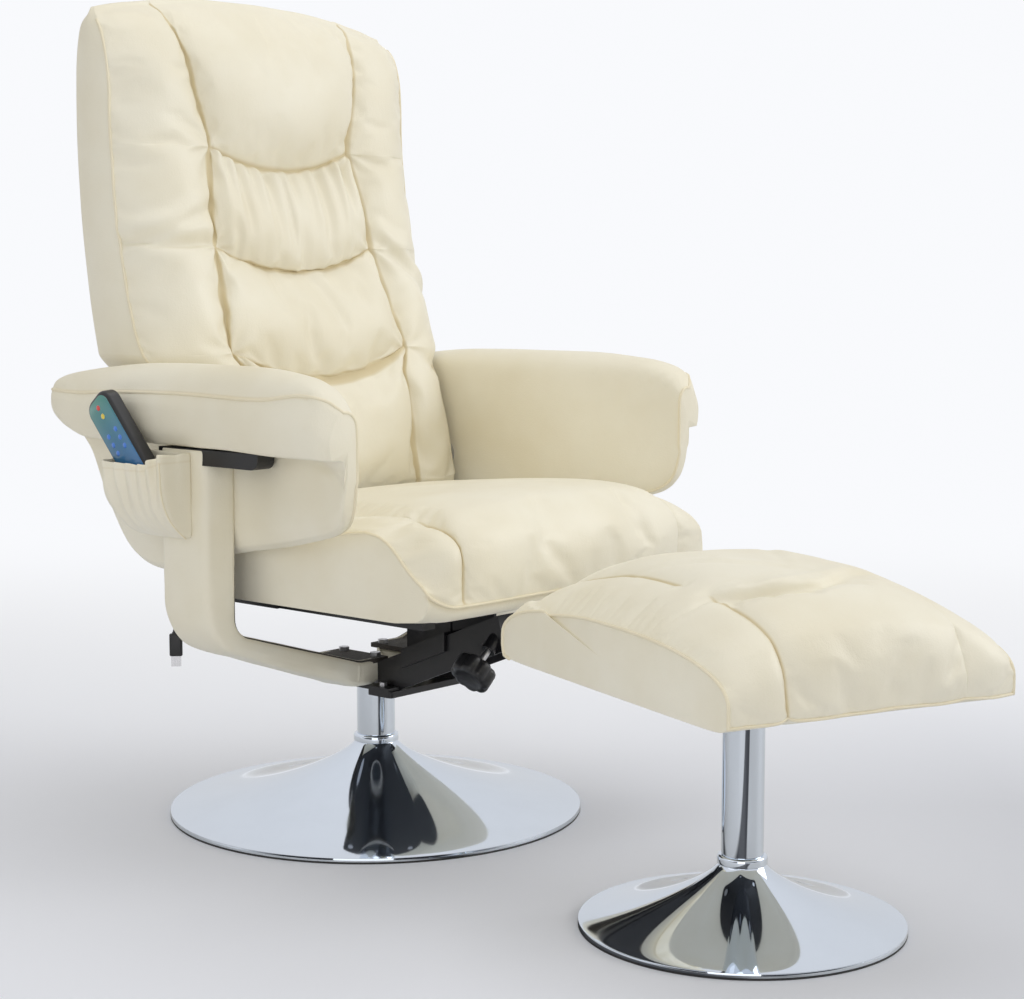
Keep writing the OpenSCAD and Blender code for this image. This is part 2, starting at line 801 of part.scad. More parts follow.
face_front = -handset_t / 2;
circuit_back = face_front + face_t + circuit_gap + circuit_t;
button_places = concat([[0, power_z], [0, heat_z]],
    [for (y = [-button_x, button_x]) for (z = [button_rows[1], button_rows[2], button_rows[3]]) [y, z]]);

module button_bores() {
    for (p = button_places) translate([face_front - cut, p[0], p[1]]) rotate([0, 90, 0])
        cylinder(d = button_d + 2 * button_gap, h = face_t + 2 * cut);
}

module handset_case() {
    color("black") in_pocket()
    difference() {
        handset_slab(0, handset_t / 2, handset_t);
        handset_slab(face_inset, face_front + face_t, face_t + cut);
        handset_slab(face_inset + handset_wall, handset_t / 2 - case_back_t, handset_t - case_back_t + cut);
    }
}

module handset_face() {
    color("steelblue") in_pocket()
    difference() {
        handset_slab(face_inset, face_front + face_t, face_t);
        button_bores();
    }
}

module handset_circuit_board() {
    posts = [[0, handset_l * 0.12], [0, handset_l * 0.3]];
    color("green") in_pocket() {
        handset_slab(face_inset + handset_wall, circuit_back, circuit_t);
        for (p = posts) translate([circuit_back - cut, p[0], p[1]]) rotate([0, 90, 0])
            cylinder(r = screw_r, h = handset_t / 2 - case_back_t - circuit_back + cut);
        for (p = posts) translate([face_front + face_t, p[0], p[1]]) rotate([0, 90, 0])
            cylinder(r = screw_r, h = circuit_gap + cut);
    }
}

// A button keeps clear of the circuit board over its whole travel
module button(index, shade) {
    p = button_places[index];
    h = button_proud + face_t + circuit_gap - button_travel - running_gap / 2;
    color(shade) in_pocket() translate([face_front - button_proud, p[0], p[1]]) rotate([0, 90, 0])
        cylinder(d = button_d, h = h);
}

module power_button() { button(0, "red"); }
module heat_button() { button(1, "gold"); }
module mode_buttons_left_1() { button(2, "dodgerblue"); }
module mode_buttons_left_2() { button(3, "dodgerblue"); }
module mode_buttons_left_3() { button(4, "dodgerblue"); }
module mode_buttons_right_1() { button(5, "dodgerblue"); }
module mode_buttons_right_2() { button(6, "dodgerblue"); }
module mode_buttons_right_3() { button(7, "dodgerblue"); }

// Power lead

module lead_gland() {
    color("black") translate(lead_top) cylinder(r = gland_r, h = gland_l);
}

// Tube of straight-sided rings swept along points
module swept_tube(route, r, sides) {
    last = len(route) - 1;
    skin([for (i = [0:last])
        let (
            way = unit(route[min(i + 1, last)] - route[max(i - 1, 0)]),
            u = unit(cross([0, 1, 0], way)),
            v = cross(way, u)
        )
        [for (k = [0:sides - 1]) route[i] + r * (u * cos(360 * k / sides) + v * sin(360 * k / sides))]]);
}

module power_lead() {
    color("black") swept_tube([for (p = lead_route) lead_top + p], lead_d / 2, lead_sides);
}

module at_lead_end() {
    translate(lead_top + lead_route[len(lead_route) - 1]) rotate([0, 0, plug_turn]) children();
}

module lead_plug() {
    color("black") at_lead_end() {
        translate([0, 0, -plug_relief_l]) cylinder(r1 = lead_d, r2 = lead_d / 2, h = plug_relief_l);
        translate([0, 0, -plug_l]) linear_extrude(plug_l - plug_relief_l)
            polygon(rounded_box(plug_d, plug_depth, plug_depth / 3));
    }
}

module plug_tip() {
    color("silver") at_lead_end() translate([0, 0, -plug_l - tip_l])
    difference() {
        linear_extrude(tip_l) square([tip_w, tip_depth], center = true);
        translate([0, 0, -cut]) linear_extrude(tip_l)
            square([tip_w - 2 * tip_wall, tip_depth - 2 * tip_wall], center = true);
    }
}

// Friction knob

module knob_rod() {
    color("silver") along_knob() translate([0, 0, -boss_root]) cylinder(r = rod_r, h = boss_root + rod_l + knob_t / 2);
}

module friction_knob() {
    bevel = knob_t / 6;
    color("black") along_knob() translate([0, 0, rod_l])
    difference() {
        rotate_extrude() polygon([[0, 0], [knob_d / 2 - bevel, 0], [knob_d / 2, bevel], [knob_d / 2, knob_t - bevel],
            [knob_d / 2 - bevel, knob_t], [0, knob_t]]);
        translate([0, 0, -cut]) cylinder(r = rod_r, h = knob_t / 2 + cut);
        for (k = [0:knob_lobes - 1]) rotate([0, 0, 360 * k / knob_lobes])
            translate([knob_d / 2 + lobe_r / 2, 0, -cut]) cylinder(r = lobe_r, h = knob_t + 2 * cut);
    }
}

// Seat

module seat_slider() {
    front = -beam_rear - slider_start - slider_l;
    rear = -beam_rear - slider_start;
    low = running_gap;
    high = running_gap + slider_t;
    color("dimgray") {
        yz_plate([[rear, beam_top(rear) + low], [front, beam_top(front) + low], [front, beam_top(front) + high],
            [rear, beam_top(rear) + high]], -beam_w / 2 - running_gap - slider_t, beam_w / 2 + running_gap + slider_t);
        for (side = [-1, 1]) {
            yz_plate([[rear, beam_top(rear) + low], [front, beam_top(front) + low], [front, rail_z], [rear, rail_z]],
                side * gusset_x - slider_t / 2, side * gusset_x + slider_t / 2);
            yz_plate([[rear, beam_top(rear) - slider_cheek], [front, beam_top(front) - slider_cheek],
                [front, beam_top(front) + high], [rear, beam_top(rear) + high]],
                side * (beam_w / 2 + running_gap + slider_t / 2) - slider_t / 2,
                side * (beam_w / 2 + running_gap + slider_t / 2) + slider_t / 2);
        }
        translate([-beam_w / 2, front, rail_z - slider_t]) cube([beam_w, slider_l, slider_t]);
    }
}

module rail_side() {
    difference() {
        union() {
            translate([rail_x, -rail_front, rail_z]) cube([rail_w, rail_front + rail_rear, rail_h]);
            yz_plate([[-lug_front, rail_z], [lug_y, lug_z - lug_r], [lug_y, lug_z + lug_r],
                [seat_rear + open_pivot_gap, seat_bottom - fit_gap], [-lug_front, seat_bottom - fit_gap]],
                seat_lug_in, seat_lug_in + lug_t);
            translate([seat_lug_in, lug_y, lug_z]) rotate([0, 90, 0]) cylinder(r = lug_r, h = lug_t);
        }
        translate([seat_lug_in - cut, lug_y, lug_z]) rotate([0, 90, 0])
            cylinder(r = hinge_pin_r + open_pivot_gap, h = lug_t + 2 * cut);
    }
}

module seat_rails() {
    slider_mid = -beam_rear - slider_start - slider_l / 2;
    color("dimgray") {
        rail_side();
        other_side() rail_side();
        for (y = [slider_mid - bar_w / 2, -rear_bar_at]) translate([-rail_x, y, rail_z]) cube([2 * rail_x, bar_w, rail_h]);
    }
}

board_front = seat_front - 1.5 * seat_bow;
board_w = seat_w - 2 * board_margin;

module seat_board_slab(gap) {
    translate([-board_w / 2 - gap, -board_front - gap, seat_bottom - (gap > 0 ? cut : 0)])
        cube([board_w + 2 * gap, board_front + seat_rear - board_margin + 2 * gap, board_t + gap + (gap > 0 ? cut : 0)]);
}

module seat_board() { color("burlywood") seat_board_slab(0); }

// Section of a cushion in the YZ plane: a waist, a crown above it and a flatter underside below
function cushion_ring(x, front, rear, low, waist, top, powers, tilt, steps) =
    [for (i = [0:4 * steps - 1])
        let (
            a = 90 * i / steps,
            q = squircle(a, powers[floor(i / steps)]),
            y = (rear + front) / 2 + (rear - front) / 2 * q[0],
            z = waist + (q[1] > 0 ? (top - waist) * q[1] : (waist - low) * q[1])
        )
        [x, y, z + max(q[1], 0) * tilt * -q[0] / 2]];

function seat_ring(x, lift) =
    let (
        t = min(abs(x) / (seat_w / 2), 1),
        front = -seat_front + seat_bow * (1 - pow(max(1 - pow(t, seat_bow_power), 0), 1 / seat_bow_power)),
        top = seat_top - seat_tilt / 2 - seat_drop * pow(t, 3.5) - seat_seam_depth * (1 - lift),
        waist = seat_bottom + (seat_top - seat_bottom) * seat_waist_share
    )
    cushion_ring(x, front, seat_rear, seat_bottom, waist, top,
        [seat_rear_power, seat_front_power, seat_low_power, seat_rear_power], seat_tilt, seat_steps);

seat_seam_x = seat_w / 2 * seat_seam_share;
seat_stations = concat(panel_stations(-seat_w / 2, -seat_seam_x, 7), panel_stations(-seat_seam_x, seat_seam_x, 16),
    panel_stations(seat_seam_x, seat_w / 2, 7), [[seat_w / 2, 0]]);

module seat_cushion() {
    color("cornsilk")
    difference() {
        skin([for (s = turned_back(seat_stations)) seat_ring(s[0], s[1])]);
        seat_board_slab(board_gap);
    }
}

module seat_motor() {
    color("dimgray") translate([-rail_x / 2, -rear_bar_at - 2 * motor_r, seat_bottom - motor_h]) cylinder(r = motor_r, h = motor_h);
}

module control_box() {
    color("black") translate([rail_x / 4, -rear_bar_at - box_size[1] - fit_gap * 10, seat_bottom - box_size[2]]) cube(box_size);
}

// Back

function back_place(shares, t) = back_foot_y + back_run * lookup(t, shares);

// Half width: it keeps clear of the pivot plates, flares out above the arms and tapers at the top
function back_half(t) =
    (back_low_w + (back_w - back_low_w) * lookup(t, back_flare_shares)) / 2 * lookup(t, back_taper_shares);

// Drop of the back's top edge towards its corners
function back_shoulder(t, u) = back_crown * pow(t, back_crown_power) * pow(abs(u), 2.5);

// Front point of the back at a share of its height and of its half width
function back_front_point(t, u, lift, sag) =
    let (
        seam = lookup(t, back_seam_shares),
        crown = back_place(back_low_shares, t),
        welt = back_place(back_welt_shares, t),
        y = crown + (welt - crown) * pow(abs(u), 6) + back_seam_depth * (1 - lift),
        inside = max(0, 1 - pow(u / seam, 2))
    )
    [u * back_half(t), y, back_bottom + back_h * (t - sag * inside) - back_shoulder(t, u)];

function back_ring(t, lift, sag) =
    let (
        seam = lookup(t, back_seam_shares),
        half = back_half(t),
        welt = back_place(back_welt_shares, t),
        rear = back_place(back_rear_shares, t),
        z = back_bottom + back_h * t,
        side = [for (s = panel_stations(-1, -seam, bolster_steps)) s],
        mid = [for (s = panel_stations(-seam, seam, centre_steps)) [s[0], s[1] * lift]],
        other = concat(panel_stations(seam, 1, bolster_steps), [[1, 0]])
    )
    concat(
        [for (s = concat(side, mid, other)) back_front_point(t, s[0], abs(s[0]) == 1 ? 1 : s[1], sag)],
        [[half, (welt + rear) / 2, z - back_shoulder(t, 1)]],
        [for (k = [0:rear_steps])
            let (q = squircle(180 * k / rear_steps, 8))
            [half * q[0], rear - (rear - welt) / 6 * (1 - q[1]), z - back_shoulder(t, q[0])]],
        [[-half, (welt + rear) / 2, z - back_shoulder(t, 1)]]);

back_rows = [for (p = [0:len(back_row_steps) - 1]) for (k = [0:back_row_steps[p] - 1])
    let (u = (1 - cos(180 * k / back_row_steps[p])) / 2)
    [back_row_shares[p] + (back_row_shares[p + 1] - back_row_shares[p]) * u,
        p == 0 && k == 0 ? 1 : sqrt(sin(180 * k / back_row_steps[p])),
        back_sag_shares[p] + (back_sag_shares[p + 1] - back_sag_shares[p]) * u]];

// Curved line that the plywood panel follows, set in from the back's rear face
function panel_line(inset) =
    [for (k = [0:panel_rows])
        let (t = panel_top_share * k / panel_rows)
        [back_place(back_rear_shares, t) - inset, back_bottom + back_h * t]];

module panel_solid(gap, tail) {
    low = back_bottom - tail;
    front = panel_line(panel_inset + panel_t + gap);
    rear = panel_line(panel_inset - gap);
    yz_plate(concat([[front[0][0], low]], front, turned_back(rear), [[rear[0][0], low]]),
        -panel_w / 2 - gap, panel_w / 2 + gap);
}

module back_panel() { color("burlywood") panel_solid(0, panel_tail); }

module at_back_motors(gap) {
    line = panel_line(panel_inset + panel_t);
    for (k = back_motor_rows) for (side = [-1, 1])
        translate([side * back_motor_x, (line[k][0] + line[k + 1][0]) / 2, (line[k][1] + line[k + 1][1]) / 2])
        rotate([90 - atan2(line[k + 1][0] - line[k][0], line[k + 1][1] - line[k][1]), 0, 0])
        translate([0, 0, gap]) children();
}

module back_motors() {
    color("dimgray") at_back_motors(fit_gap) cylinder(r = back_motor_r, h = back_motor_h);
}

module back_cushion() {
    color("cornsilk")
    difference() {
        skin(turned_back(concat([for (r = back_rows) back_ring(r[0], r[1], r[2])], [back_ring(1, 1, 0)])));
        panel_solid(panel_gap, cut);
        at_back_motors(-panel_t / 2) cylinder(r = back_motor_r + fit_gap, h = back_motor_h + panel_t, $fn = 24);
    }
}

module pivot_plate() {
    top_t = 0.2;
    difference() {
        union() {
            yz_plate([[hinge_y - lug_r, hinge_z], [hinge_y + lug_r, hinge_z], [tube_y + tube_r, tube_z],
                [back_place(back_rear_shares, top_t) - panel_inset, back_bottom + back_h * top_t],
                [pivot_y, back_bottom + back_h * top_t], [pivot_y - pivot_flange_r, pivot_z]],
                pivot_plate_in, pivot_plate_out);
            translate([pivot_plate_in, hinge_y, hinge_z]) rotate([0, 90, 0]) cylinder(r = lug_r, h = pivot_plate_t);
            translate([back_low_w / 2 + pad_gap, spacer_y, back_bottom + back_h * spacer_share]) rotate([0, 90, 0])
                cylinder(r = spacer_r, h = plate_side_gap - pad_gap + pivot_plate_t / 2);
        }
        translate([pivot_plate_in - cut, pivot_y, pivot_z]) rotate([0, 90, 0])
            cylinder(r = pivot_r + pin_gap, h = pivot_plate_t + 2 * cut);
        translate([pivot_plate_in - cut, hinge_y, hinge_z]) rotate([0, 90, 0])
            cylinder(r = hinge_pin_r, h = pivot_plate_t + 2 * cut);
    }
}

module back_frame() {
    color("dimgray") {
        pivot_plate();
        other_side() pivot_plate();
        translate([-pivot_plate_in, tube_y, tube_z]) rotate([0, 90, 0]) cylinder(r = tube_r, h = 2 * pivot_plate_in);
    }
}

module hinge_pin() {
    translate([seat_lug_in - running_gap, hinge_y, hinge_z]) rotate([0, 90, 0])
        cylinder(r = hinge_pin_r, h = pivot_plate_out - seat_lug_in + running_gap);
}

module hinge_pins() {
    color("silver") {
        hinge_pin();
        other_side() hinge_pin();
    }
}

// Footstool

module at_stool() {
    translate([stool_at[0], stool_at[1], 0]) rotate([0, 0, stool_turn]) children();
}

module stool_base_shell() { at_stool() trumpet(stool_base_r, base_edge_h, stool_column_r + neck_gap, stool_neck_h); }
module stool_base_rim() { at_stool() rim_ring(stool_base_r, stool_column_r); }
module stool_ballast_plate() { at_stool() ballast_disc(stool_base_r, stool_column_r); }
module stool_column() { at_stool() flanged_column(stool_column_r, stool_column_top); }
module stool_collar() { at_stool() collar(stool_column_r, stool_neck_h); }

stool_bolt_places = [for (x = [-stool_bolt_at, stool_bolt_at]) for (y = [-stool_bolt_at, stool_bolt_at]) [x, y, 0]];

module stool_screws() {
    at_stool() {
        column_screws(stool_column_r);
        color("silver") at_all(stool_bolt_places) translate([0, 0, stool_column_top - bolt_head_h]) {
            cylinder(r = bolt_head_r, h = bolt_head_h);
            cylinder(r = small_bolt_r, h = bolt_head_h + stool_plate_t + board_t);
        }
    }
}

module stool_top_plate() {
    color("dimgray") at_stool()
    difference() {
        translate([0, 0, stool_column_top]) linear_extrude(stool_plate_t)
            polygon(rounded_box(stool_plate_w, stool_plate_w, plate_corner_r));
        at_all(stool_bolt_places) cylinder(r = small_bolt_r, h = stool_bottom + cut);
    }
}

module stool_board_slab(gap) {
    under = gap > 0 ? cut : 0;
    w = stool_w - 2 * board_margin + 2 * gap;
    l = stool_l - 2 * board_margin + 2 * gap;
    translate([-w / 2, -l / 2, stool_bottom - under]) cube([w, l, board_t + gap + under]);
}

module stool_board() {
    color("burlywood") at_stool()
    difference() {
        stool_board_slab(0);
        at_all(stool_bolt_places) cylinder(r = small_bolt_r, h = stool_bottom + board_t + cut);
    }
}

function stool_ring(x, lift) =
    let (
        half = stool_w / 2 + stool_bulge,
        t = min(abs(x) / half, 1),
        side_top = stool_bottom + stool_side_h,
        top = side_top + (stool_top - side_top) * (1 - pow(t, stool_crown_power)) - stool_seam_depth * (1 - lift),
        shrink = stool_bulge * pow(t, 8),
        waist = stool_bottom + (top - stool_bottom) * stool_waist_share
    )
    cushion_ring(x, -stool_l / 2 - stool_bulge + shrink, stool_l / 2 + stool_bulge - shrink, stool_bottom, waist, top,
        [stool_roll_power, stool_roll_power, stool_low_power, stool_low_power], 0, stool_steps);

stool_half = stool_w / 2 + stool_bulge;
stool_seam_x = stool_half * stool_seam_share;
stool_stations = concat(panel_stations(-stool_half, -stool_seam_x, 7), panel_stations(-stool_seam_x, stool_seam_x, 12),
    panel_stations(stool_seam_x, stool_half, 7), [[stool_half, 0]]);

module stool_cushion() {
    color("cornsilk") at_stool()
    difference() {
        skin([for (s = turned_back(stool_stations)) stool_ring(s[0], s[1])]);
        stool_board_slab(board_gap);
    }
}

chair_base_shell();
chair_base_rim();
chair_ballast_plate();
chair_column();
chair_collar();
base_screws();
swivel_bushes();
swivel_spindle();
swivel_plate();
slide_beam();
beam_bolts();
hub_bolts();
right_support_core();
right_support_cover();
left_support_core();
left_support_cover();
right_arm_bracket();
left_arm_bracket();
bracket_bolts();
right_arm();
left_arm();
back_pivot_pins();
handset_pocket();
lead_gland();
power_lead();
lead_plug();
plug_tip();
knob_rod();
friction_knob();
seat_slider();
seat_rails();
seat_board();
seat_cushion();
seat_motor();
control_box();
back_frame();
hinge_pins();
back_panel();
back_cushion();
back_motors();
handset_case();
handset_face();
handset_circuit_board();
power_button();
heat_button();
mode_buttons_left_1();
mode_buttons_left_2();
mode_buttons_left_3();
mode_buttons_right_1();
mode_buttons_right_2();
mode_buttons_right_3();
stool_base_shell();
stool_base_rim();
stool_ballast_plate();
stool_column();
stool_collar();
stool_screws();
stool_top_plate();
stool_board();
stool_cushion();
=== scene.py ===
"""Dresses the massage recliner and its footstool over the frame that the CAD model gives, and sets the stage."""

import json
import math
from types import SimpleNamespace as Sizes

import bmesh
import bpy
import numpy as np
from bpy.props import FloatProperty, FloatVectorProperty, PointerProperty
from mathutils import Matrix, Vector, noise


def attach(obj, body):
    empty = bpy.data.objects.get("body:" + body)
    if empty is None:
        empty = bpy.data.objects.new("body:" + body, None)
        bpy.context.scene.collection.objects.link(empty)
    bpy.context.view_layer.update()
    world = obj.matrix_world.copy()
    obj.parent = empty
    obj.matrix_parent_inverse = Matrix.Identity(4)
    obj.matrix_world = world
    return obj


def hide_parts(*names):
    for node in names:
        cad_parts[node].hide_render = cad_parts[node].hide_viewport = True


bl_info = {
    "name": "Massage recliner dresser",
    "version": (1, 0),
    "blender": (4, 5, 0),
    "location": "3D View > Sidebar > Recliner",
    "description": "Upholstery, chrome, handset and stage for a massage recliner with a footstool",
    "category": "Object",
}

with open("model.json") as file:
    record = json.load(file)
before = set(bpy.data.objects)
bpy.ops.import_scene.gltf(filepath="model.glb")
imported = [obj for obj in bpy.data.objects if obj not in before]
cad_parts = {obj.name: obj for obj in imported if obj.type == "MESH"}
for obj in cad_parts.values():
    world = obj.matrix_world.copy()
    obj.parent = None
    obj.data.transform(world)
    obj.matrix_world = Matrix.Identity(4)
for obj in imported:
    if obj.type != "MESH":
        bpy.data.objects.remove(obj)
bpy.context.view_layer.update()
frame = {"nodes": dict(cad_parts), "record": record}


def tint_setting(name, description, default):
    return FloatVectorProperty(name=name, description=description, subtype="COLOR", default=default, min=0, max=1)


def length_setting(name, description, default, low, high):
    return FloatProperty(name=name, description=description, default=default, min=low, max=high, unit="LENGTH")


class UpholsterySettings(bpy.types.PropertyGroup):
    """Colours and sizes of the cream upholstery"""
    leather: tint_setting("Leather", "Colour of the upholstery", (0.855, 0.815, 0.685))
    # The seam colour is the seam line's colour and also painted shade, laid down in the seams and folds wherever the
    # seam attribute is high
    seam: tint_setting("Seam", "Colour down in the seams", (0.62, 0.5, 0.26))
    piping: length_setting("Piping", "Radius of the piping along the edges", 0.0019, 0.001, 0.005)
    seam_depth: length_setting("Seam depth", "Depth of the seams between the back's panels", 0.016, 0.004, 0.03)
    fold: length_setting("Fold", "Height of the gathers and folds", 0.0032, 0, 0.008)
    rise: length_setting("Rise", "Furthest that the stuffing may push the cover out", 0.012, 0, 0.03)
    grain: length_setting("Grain", "Height of the leather's grain", 0.00025, 0, 0.001)


class HardwareSettings(bpy.types.PropertyGroup):
    """Colours and finishes of the hard parts"""
    chrome: tint_setting("Chrome", "Tint of the chromed bases and columns", (0.73, 0.79, 0.87))
    polish: FloatProperty(name="Polish", description="Roughness of the chrome", default=0.045, min=0, max=0.5,
        subtype="FACTOR")
    face_top: tint_setting("Face top", "Colour of the handset's face at its upper end", (0.07, 0.27, 0.2))
    face_low: tint_setting("Face bottom", "Colour of the handset's face at its lower end", (0.03, 0.16, 0.5))
    floor: tint_setting("Floor", "Colour of the studio floor", (0.88, 0.90, 0.97))


def upholstery():
    return bpy.context.scene.recliner_upholstery


def hardware():
    return bpy.context.scene.recliner_hardware


# Materials

class Wire:
    """An output socket that can stand in sums"""

    def __init__(self, nodes, socket):
        self.nodes, self.socket = nodes, socket

    def sum(self, operation, *values):
        return self.nodes.node("ShaderNodeMath", {"operation": operation}, dict(enumerate(values)))

    def __add__(self, other): return self.sum("ADD", self, other)
    def __radd__(self, other): return self.sum("ADD", other, self)
    def __sub__(self, other): return self.sum("SUBTRACT", self, other)
    def __rsub__(self, other): return self.sum("SUBTRACT", other, self)
    def __mul__(self, other): return self.sum("MULTIPLY", self, other)
    def __rmul__(self, other): return self.sum("MULTIPLY", other, self)


class Nodes:
    """A node tree, with the nodes that finishes and world share"""

    def __init__(self, tree):
        self.tree = tree

    def feed(self, socket, value):
        if isinstance(value, Wire):
            self.tree.links.new(value.socket, socket)
        else:
            socket.default_value = value

    def node(self, kind, settings=None, inputs=None, out=0):
        made = self.tree.nodes.new(kind)
        for key, value in (settings or {}).items():
            if key == "stops":
                ramp = made.color_ramp
                while len(ramp.elements) < len(value):
                    ramp.elements.new(0.5)
                for element, (place, colour) in zip(ramp.elements, value):
                    element.position, element.color = place, (*colour, 1)
            else:
                setattr(made, key, value)
        for key, value in (inputs or {}).items():
            self.feed(made.inputs[key], value)
        return Wire(self, made.outputs[out])

    def parts(self, where):
        """The three coordinates of a place"""
        first = self.node("ShaderNodeSeparateXYZ", None, {0: where})
        return [Wire(self, socket) for socket in first.socket.node.outputs]

    def ray(self, kind):
        return self.node("ShaderNodeLightPath", out=f"Is {kind} Ray")

    def noise(self, where, scale, detail=2.0, rough=0.5):
        inputs = {"Vector": where, "Scale": scale, "Detail": detail, "Roughness": rough}
        return self.node("ShaderNodeTexNoise", None, inputs)

    def blend(self, share, first, second):
        first, second = (c if isinstance(c, Wire) else (*c, 1) for c in (first, second))
        return self.node("ShaderNodeMix", {"data_type": "RGBA"}, {0: share, 6: first, 7: second}, out=2)

    def ramp(self, value, low, high, kind="LINEAR"):
        settings = {"clamp": True, "interpolation_type": kind}
        return self.node("ShaderNodeMapRange", settings, {0: value, 1: low, 2: high, 3: 0.0, 4: 1.0})


class Finish(Nodes):
    """One material: its node tree and its main shader"""

    def __init__(self, name, colour, roughness=0.5, metallic=0.0, **more):
        self.material = bpy.data.materials.new(name)
        self.material.use_nodes = True
        super().__init__(self.material.node_tree)
        self.shader = self.tree.nodes["Principled BSDF"]
        more |= {"Base Color": (*colour, 1), "Roughness": roughness, "Metallic": metallic}
        for key, value in more.items():
            self.set(key.replace("_", " "), value)

    def set(self, name, value):
        self.feed(self.shader.inputs[name], value)

    def place(self, scale=(1, 1, 1), turn=(0, 0, 0)):
        where = self.node("ShaderNodeTexCoord", out="Object")
        return self.node("ShaderNodeMapping", None, {"Vector": where, "Scale": scale, "Rotation": turn})

    def own(self, attribute):
        return self.node("ShaderNodeAttribute", {"attribute_name": attribute}, out="Fac")

    def mottle(self, share, colour, by, plus=0.0):
        """Base colour that turns to another shade of itself"""
        self.set("Base Color", self.blend(share, colour, tuple(c * by + plus for c in colour)))

    def relief(self, *layers):
        """Bumps one over another, from rows of (height, depth in metres, strength)"""
        normal = None
        for height, depth, strength in layers:
            inputs = {"Height": height, "Distance": depth, "Strength": strength}
            if normal:
                inputs["Normal"] = normal
            normal = self.node("ShaderNodeBump", None, inputs)
        self.set("Normal", normal)


def leather(name, shade=(1, 1, 1)):
    """Grained leather in a shade of the upholstery's colour, darker where the seam attribute is high: the seam line,
    with painted shade laid down in the seams and along folds
    """
    colour = tuple(c * k for c, k in zip(upholstery().leather, shade))
    f = Finish(name, colour, 0.42, Specular_IOR_Level=0.42)
    where, seam_and_shade = f.place(), f.own("seam")
    cloud, worn = f.noise(where, 5.5, 3, 0.55), f.noise(where, 34, 4, 0.6)
    pale = tuple(min(1, c * 1.03) for c in colour)
    warm = tuple(c * k for c, k in zip(colour, (0.955, 0.93, 0.87)))
    tint = f.blend(f.ramp(cloud, 0.35, 0.7), pale, warm)
    tint = f.blend(f.ramp(worn, 0.55, 0.8) * 0.25, tint, warm)
    # Painted shade: the seam colour darkens the leather in the seams, along the welt and in folds, as the seam
    # attribute marks them
    f.set("Base Color", f.blend(f.ramp(seam_and_shade, 0.2, 1.0) * 0.7, tint, upholstery().seam))
    f.set("Roughness", 0.38 + 0.12 * worn + 0.08 * seam_and_shade)
    cells = f.node("ShaderNodeTexVoronoi", {"feature": "SMOOTH_F1"}, {"Vector": where, "Scale": 620.0, "Smoothness": 0.6})
    pores = f.noise(where, 1500, 1)
    creases = f.noise(f.place(scale=(1, 1, 0.45)), 55, 5, 0.62)
    f.relief((creases, 0.0016, 0.35), (cells + 0.4 * pores, upholstery().grain, 0.5))
    return f.material


def chrome(name):
    tint, polish = hardware().chrome, hardware().polish
    f = Finish(name, tint, polish, 1.0)
    where = f.place()
    smear = f.noise(where, 14, 4, 0.6)
    f.set("Roughness", polish + 0.05 * f.ramp(smear, 0.5, 0.75))
    f.mottle(f.ramp(smear, 0.4, 0.7) * 0.5, tint, 0.95)
    f.relief((f.noise(where, 9, 2), 0.0006, 0.06))
    return f.material


def coated_steel(name, colour, roughness):
    f = Finish(name, colour, roughness, Coat_Roughness=0.3)
    where = f.place()
    dust = f.ramp(f.noise(where, 22, 4, 0.6), 0.5, 0.75)
    f.mottle(dust * 0.4, colour, 1.8, 0.01)
    f.set("Roughness", roughness + 0.2 * dust)
    f.relief((f.noise(where, 480, 2), 0.0002, 0.4))
    return f.material


def bright_steel(name, colour, roughness):
    f = Finish(name, colour, roughness, 1.0)
    lines = f.noise(f.place(scale=(1, 1, 0.04)), 900, 3, 0.6)
    f.set("Roughness", roughness + 0.15 * lines)
    f.mottle(0.4 * lines, colour, 0.8)
    f.relief((lines, 0.00012, 0.3))
    return f.material


def moulded(name, colour, roughness):
    """Plastic with a fine moulded grain"""
    f = Finish(name, colour, roughness)
    where = f.place()
    cloud = f.noise(where, 40, 3, 0.5)
    f.mottle(cloud * 0.5, colour, 0.75, 0.004)
    f.set("Roughness", roughness + 0.1 * cloud)
    f.relief((f.noise(where, 1300, 2), 0.00015, 0.3))
    return f.material


def gloss(name, colour):
    f = Finish(name, colour, 0.16, Coat_Roughness=0.08, Coat_Weight=0.6)
    cloud = f.noise(f.place(), 120, 2)
    f.mottle(cloud * 0.3, colour, 0.8)
    f.set("Roughness", 0.12 + 0.08 * cloud)
    return f.material


def plywood(name):
    f = Finish(name, (0.62, 0.46, 0.29), 0.62)
    rings = f.node("ShaderNodeTexWave", {"wave_type": "RINGS", "rings_direction": "X"},
        {"Vector": f.place(scale=(1, 1, 0.35), turn=(0.1, 0.06, 0)), "Scale": 9.0, "Distortion": 6.0, "Detail": 3.0,
            "Detail Scale": 1.6})
    fibre = f.noise(f.place(scale=(1, 0.05, 1)), 320, 3)
    tint = f.blend(rings * 0.6, (0.66, 0.5, 0.33), (0.5, 0.34, 0.19))
    f.set("Base Color", f.blend(fibre * 0.35, tint, (0.42, 0.28, 0.15)))
    f.set("Roughness", 0.55 + 0.2 * fibre)
    f.relief((fibre, 0.0003, 0.5))
    return f.material


def woven(name, colour):
    """Dark lining cloth"""
    f = Finish(name, colour, 0.85, Sheen_Weight=0.2)
    warp, weft = (f.node("ShaderNodeTexWave", {"bands_direction": way},
        {"Vector": f.place(scale=scale), "Scale": 260.0, "Distortion": 0.6})
        for way, scale in (("Y", (1, 1, 1)), ("DIAGONAL", (1, 0, 1))))
    cloud = f.noise(f.place(), 30, 4, 0.6)
    f.mottle(cloud * 0.7, colour, 2.2, 0.01)
    f.set("Roughness", 0.75 + 0.15 * warp)
    f.relief((warp * weft, 0.0004, 0.6), (cloud, 0.003, 0.4))
    return f.material


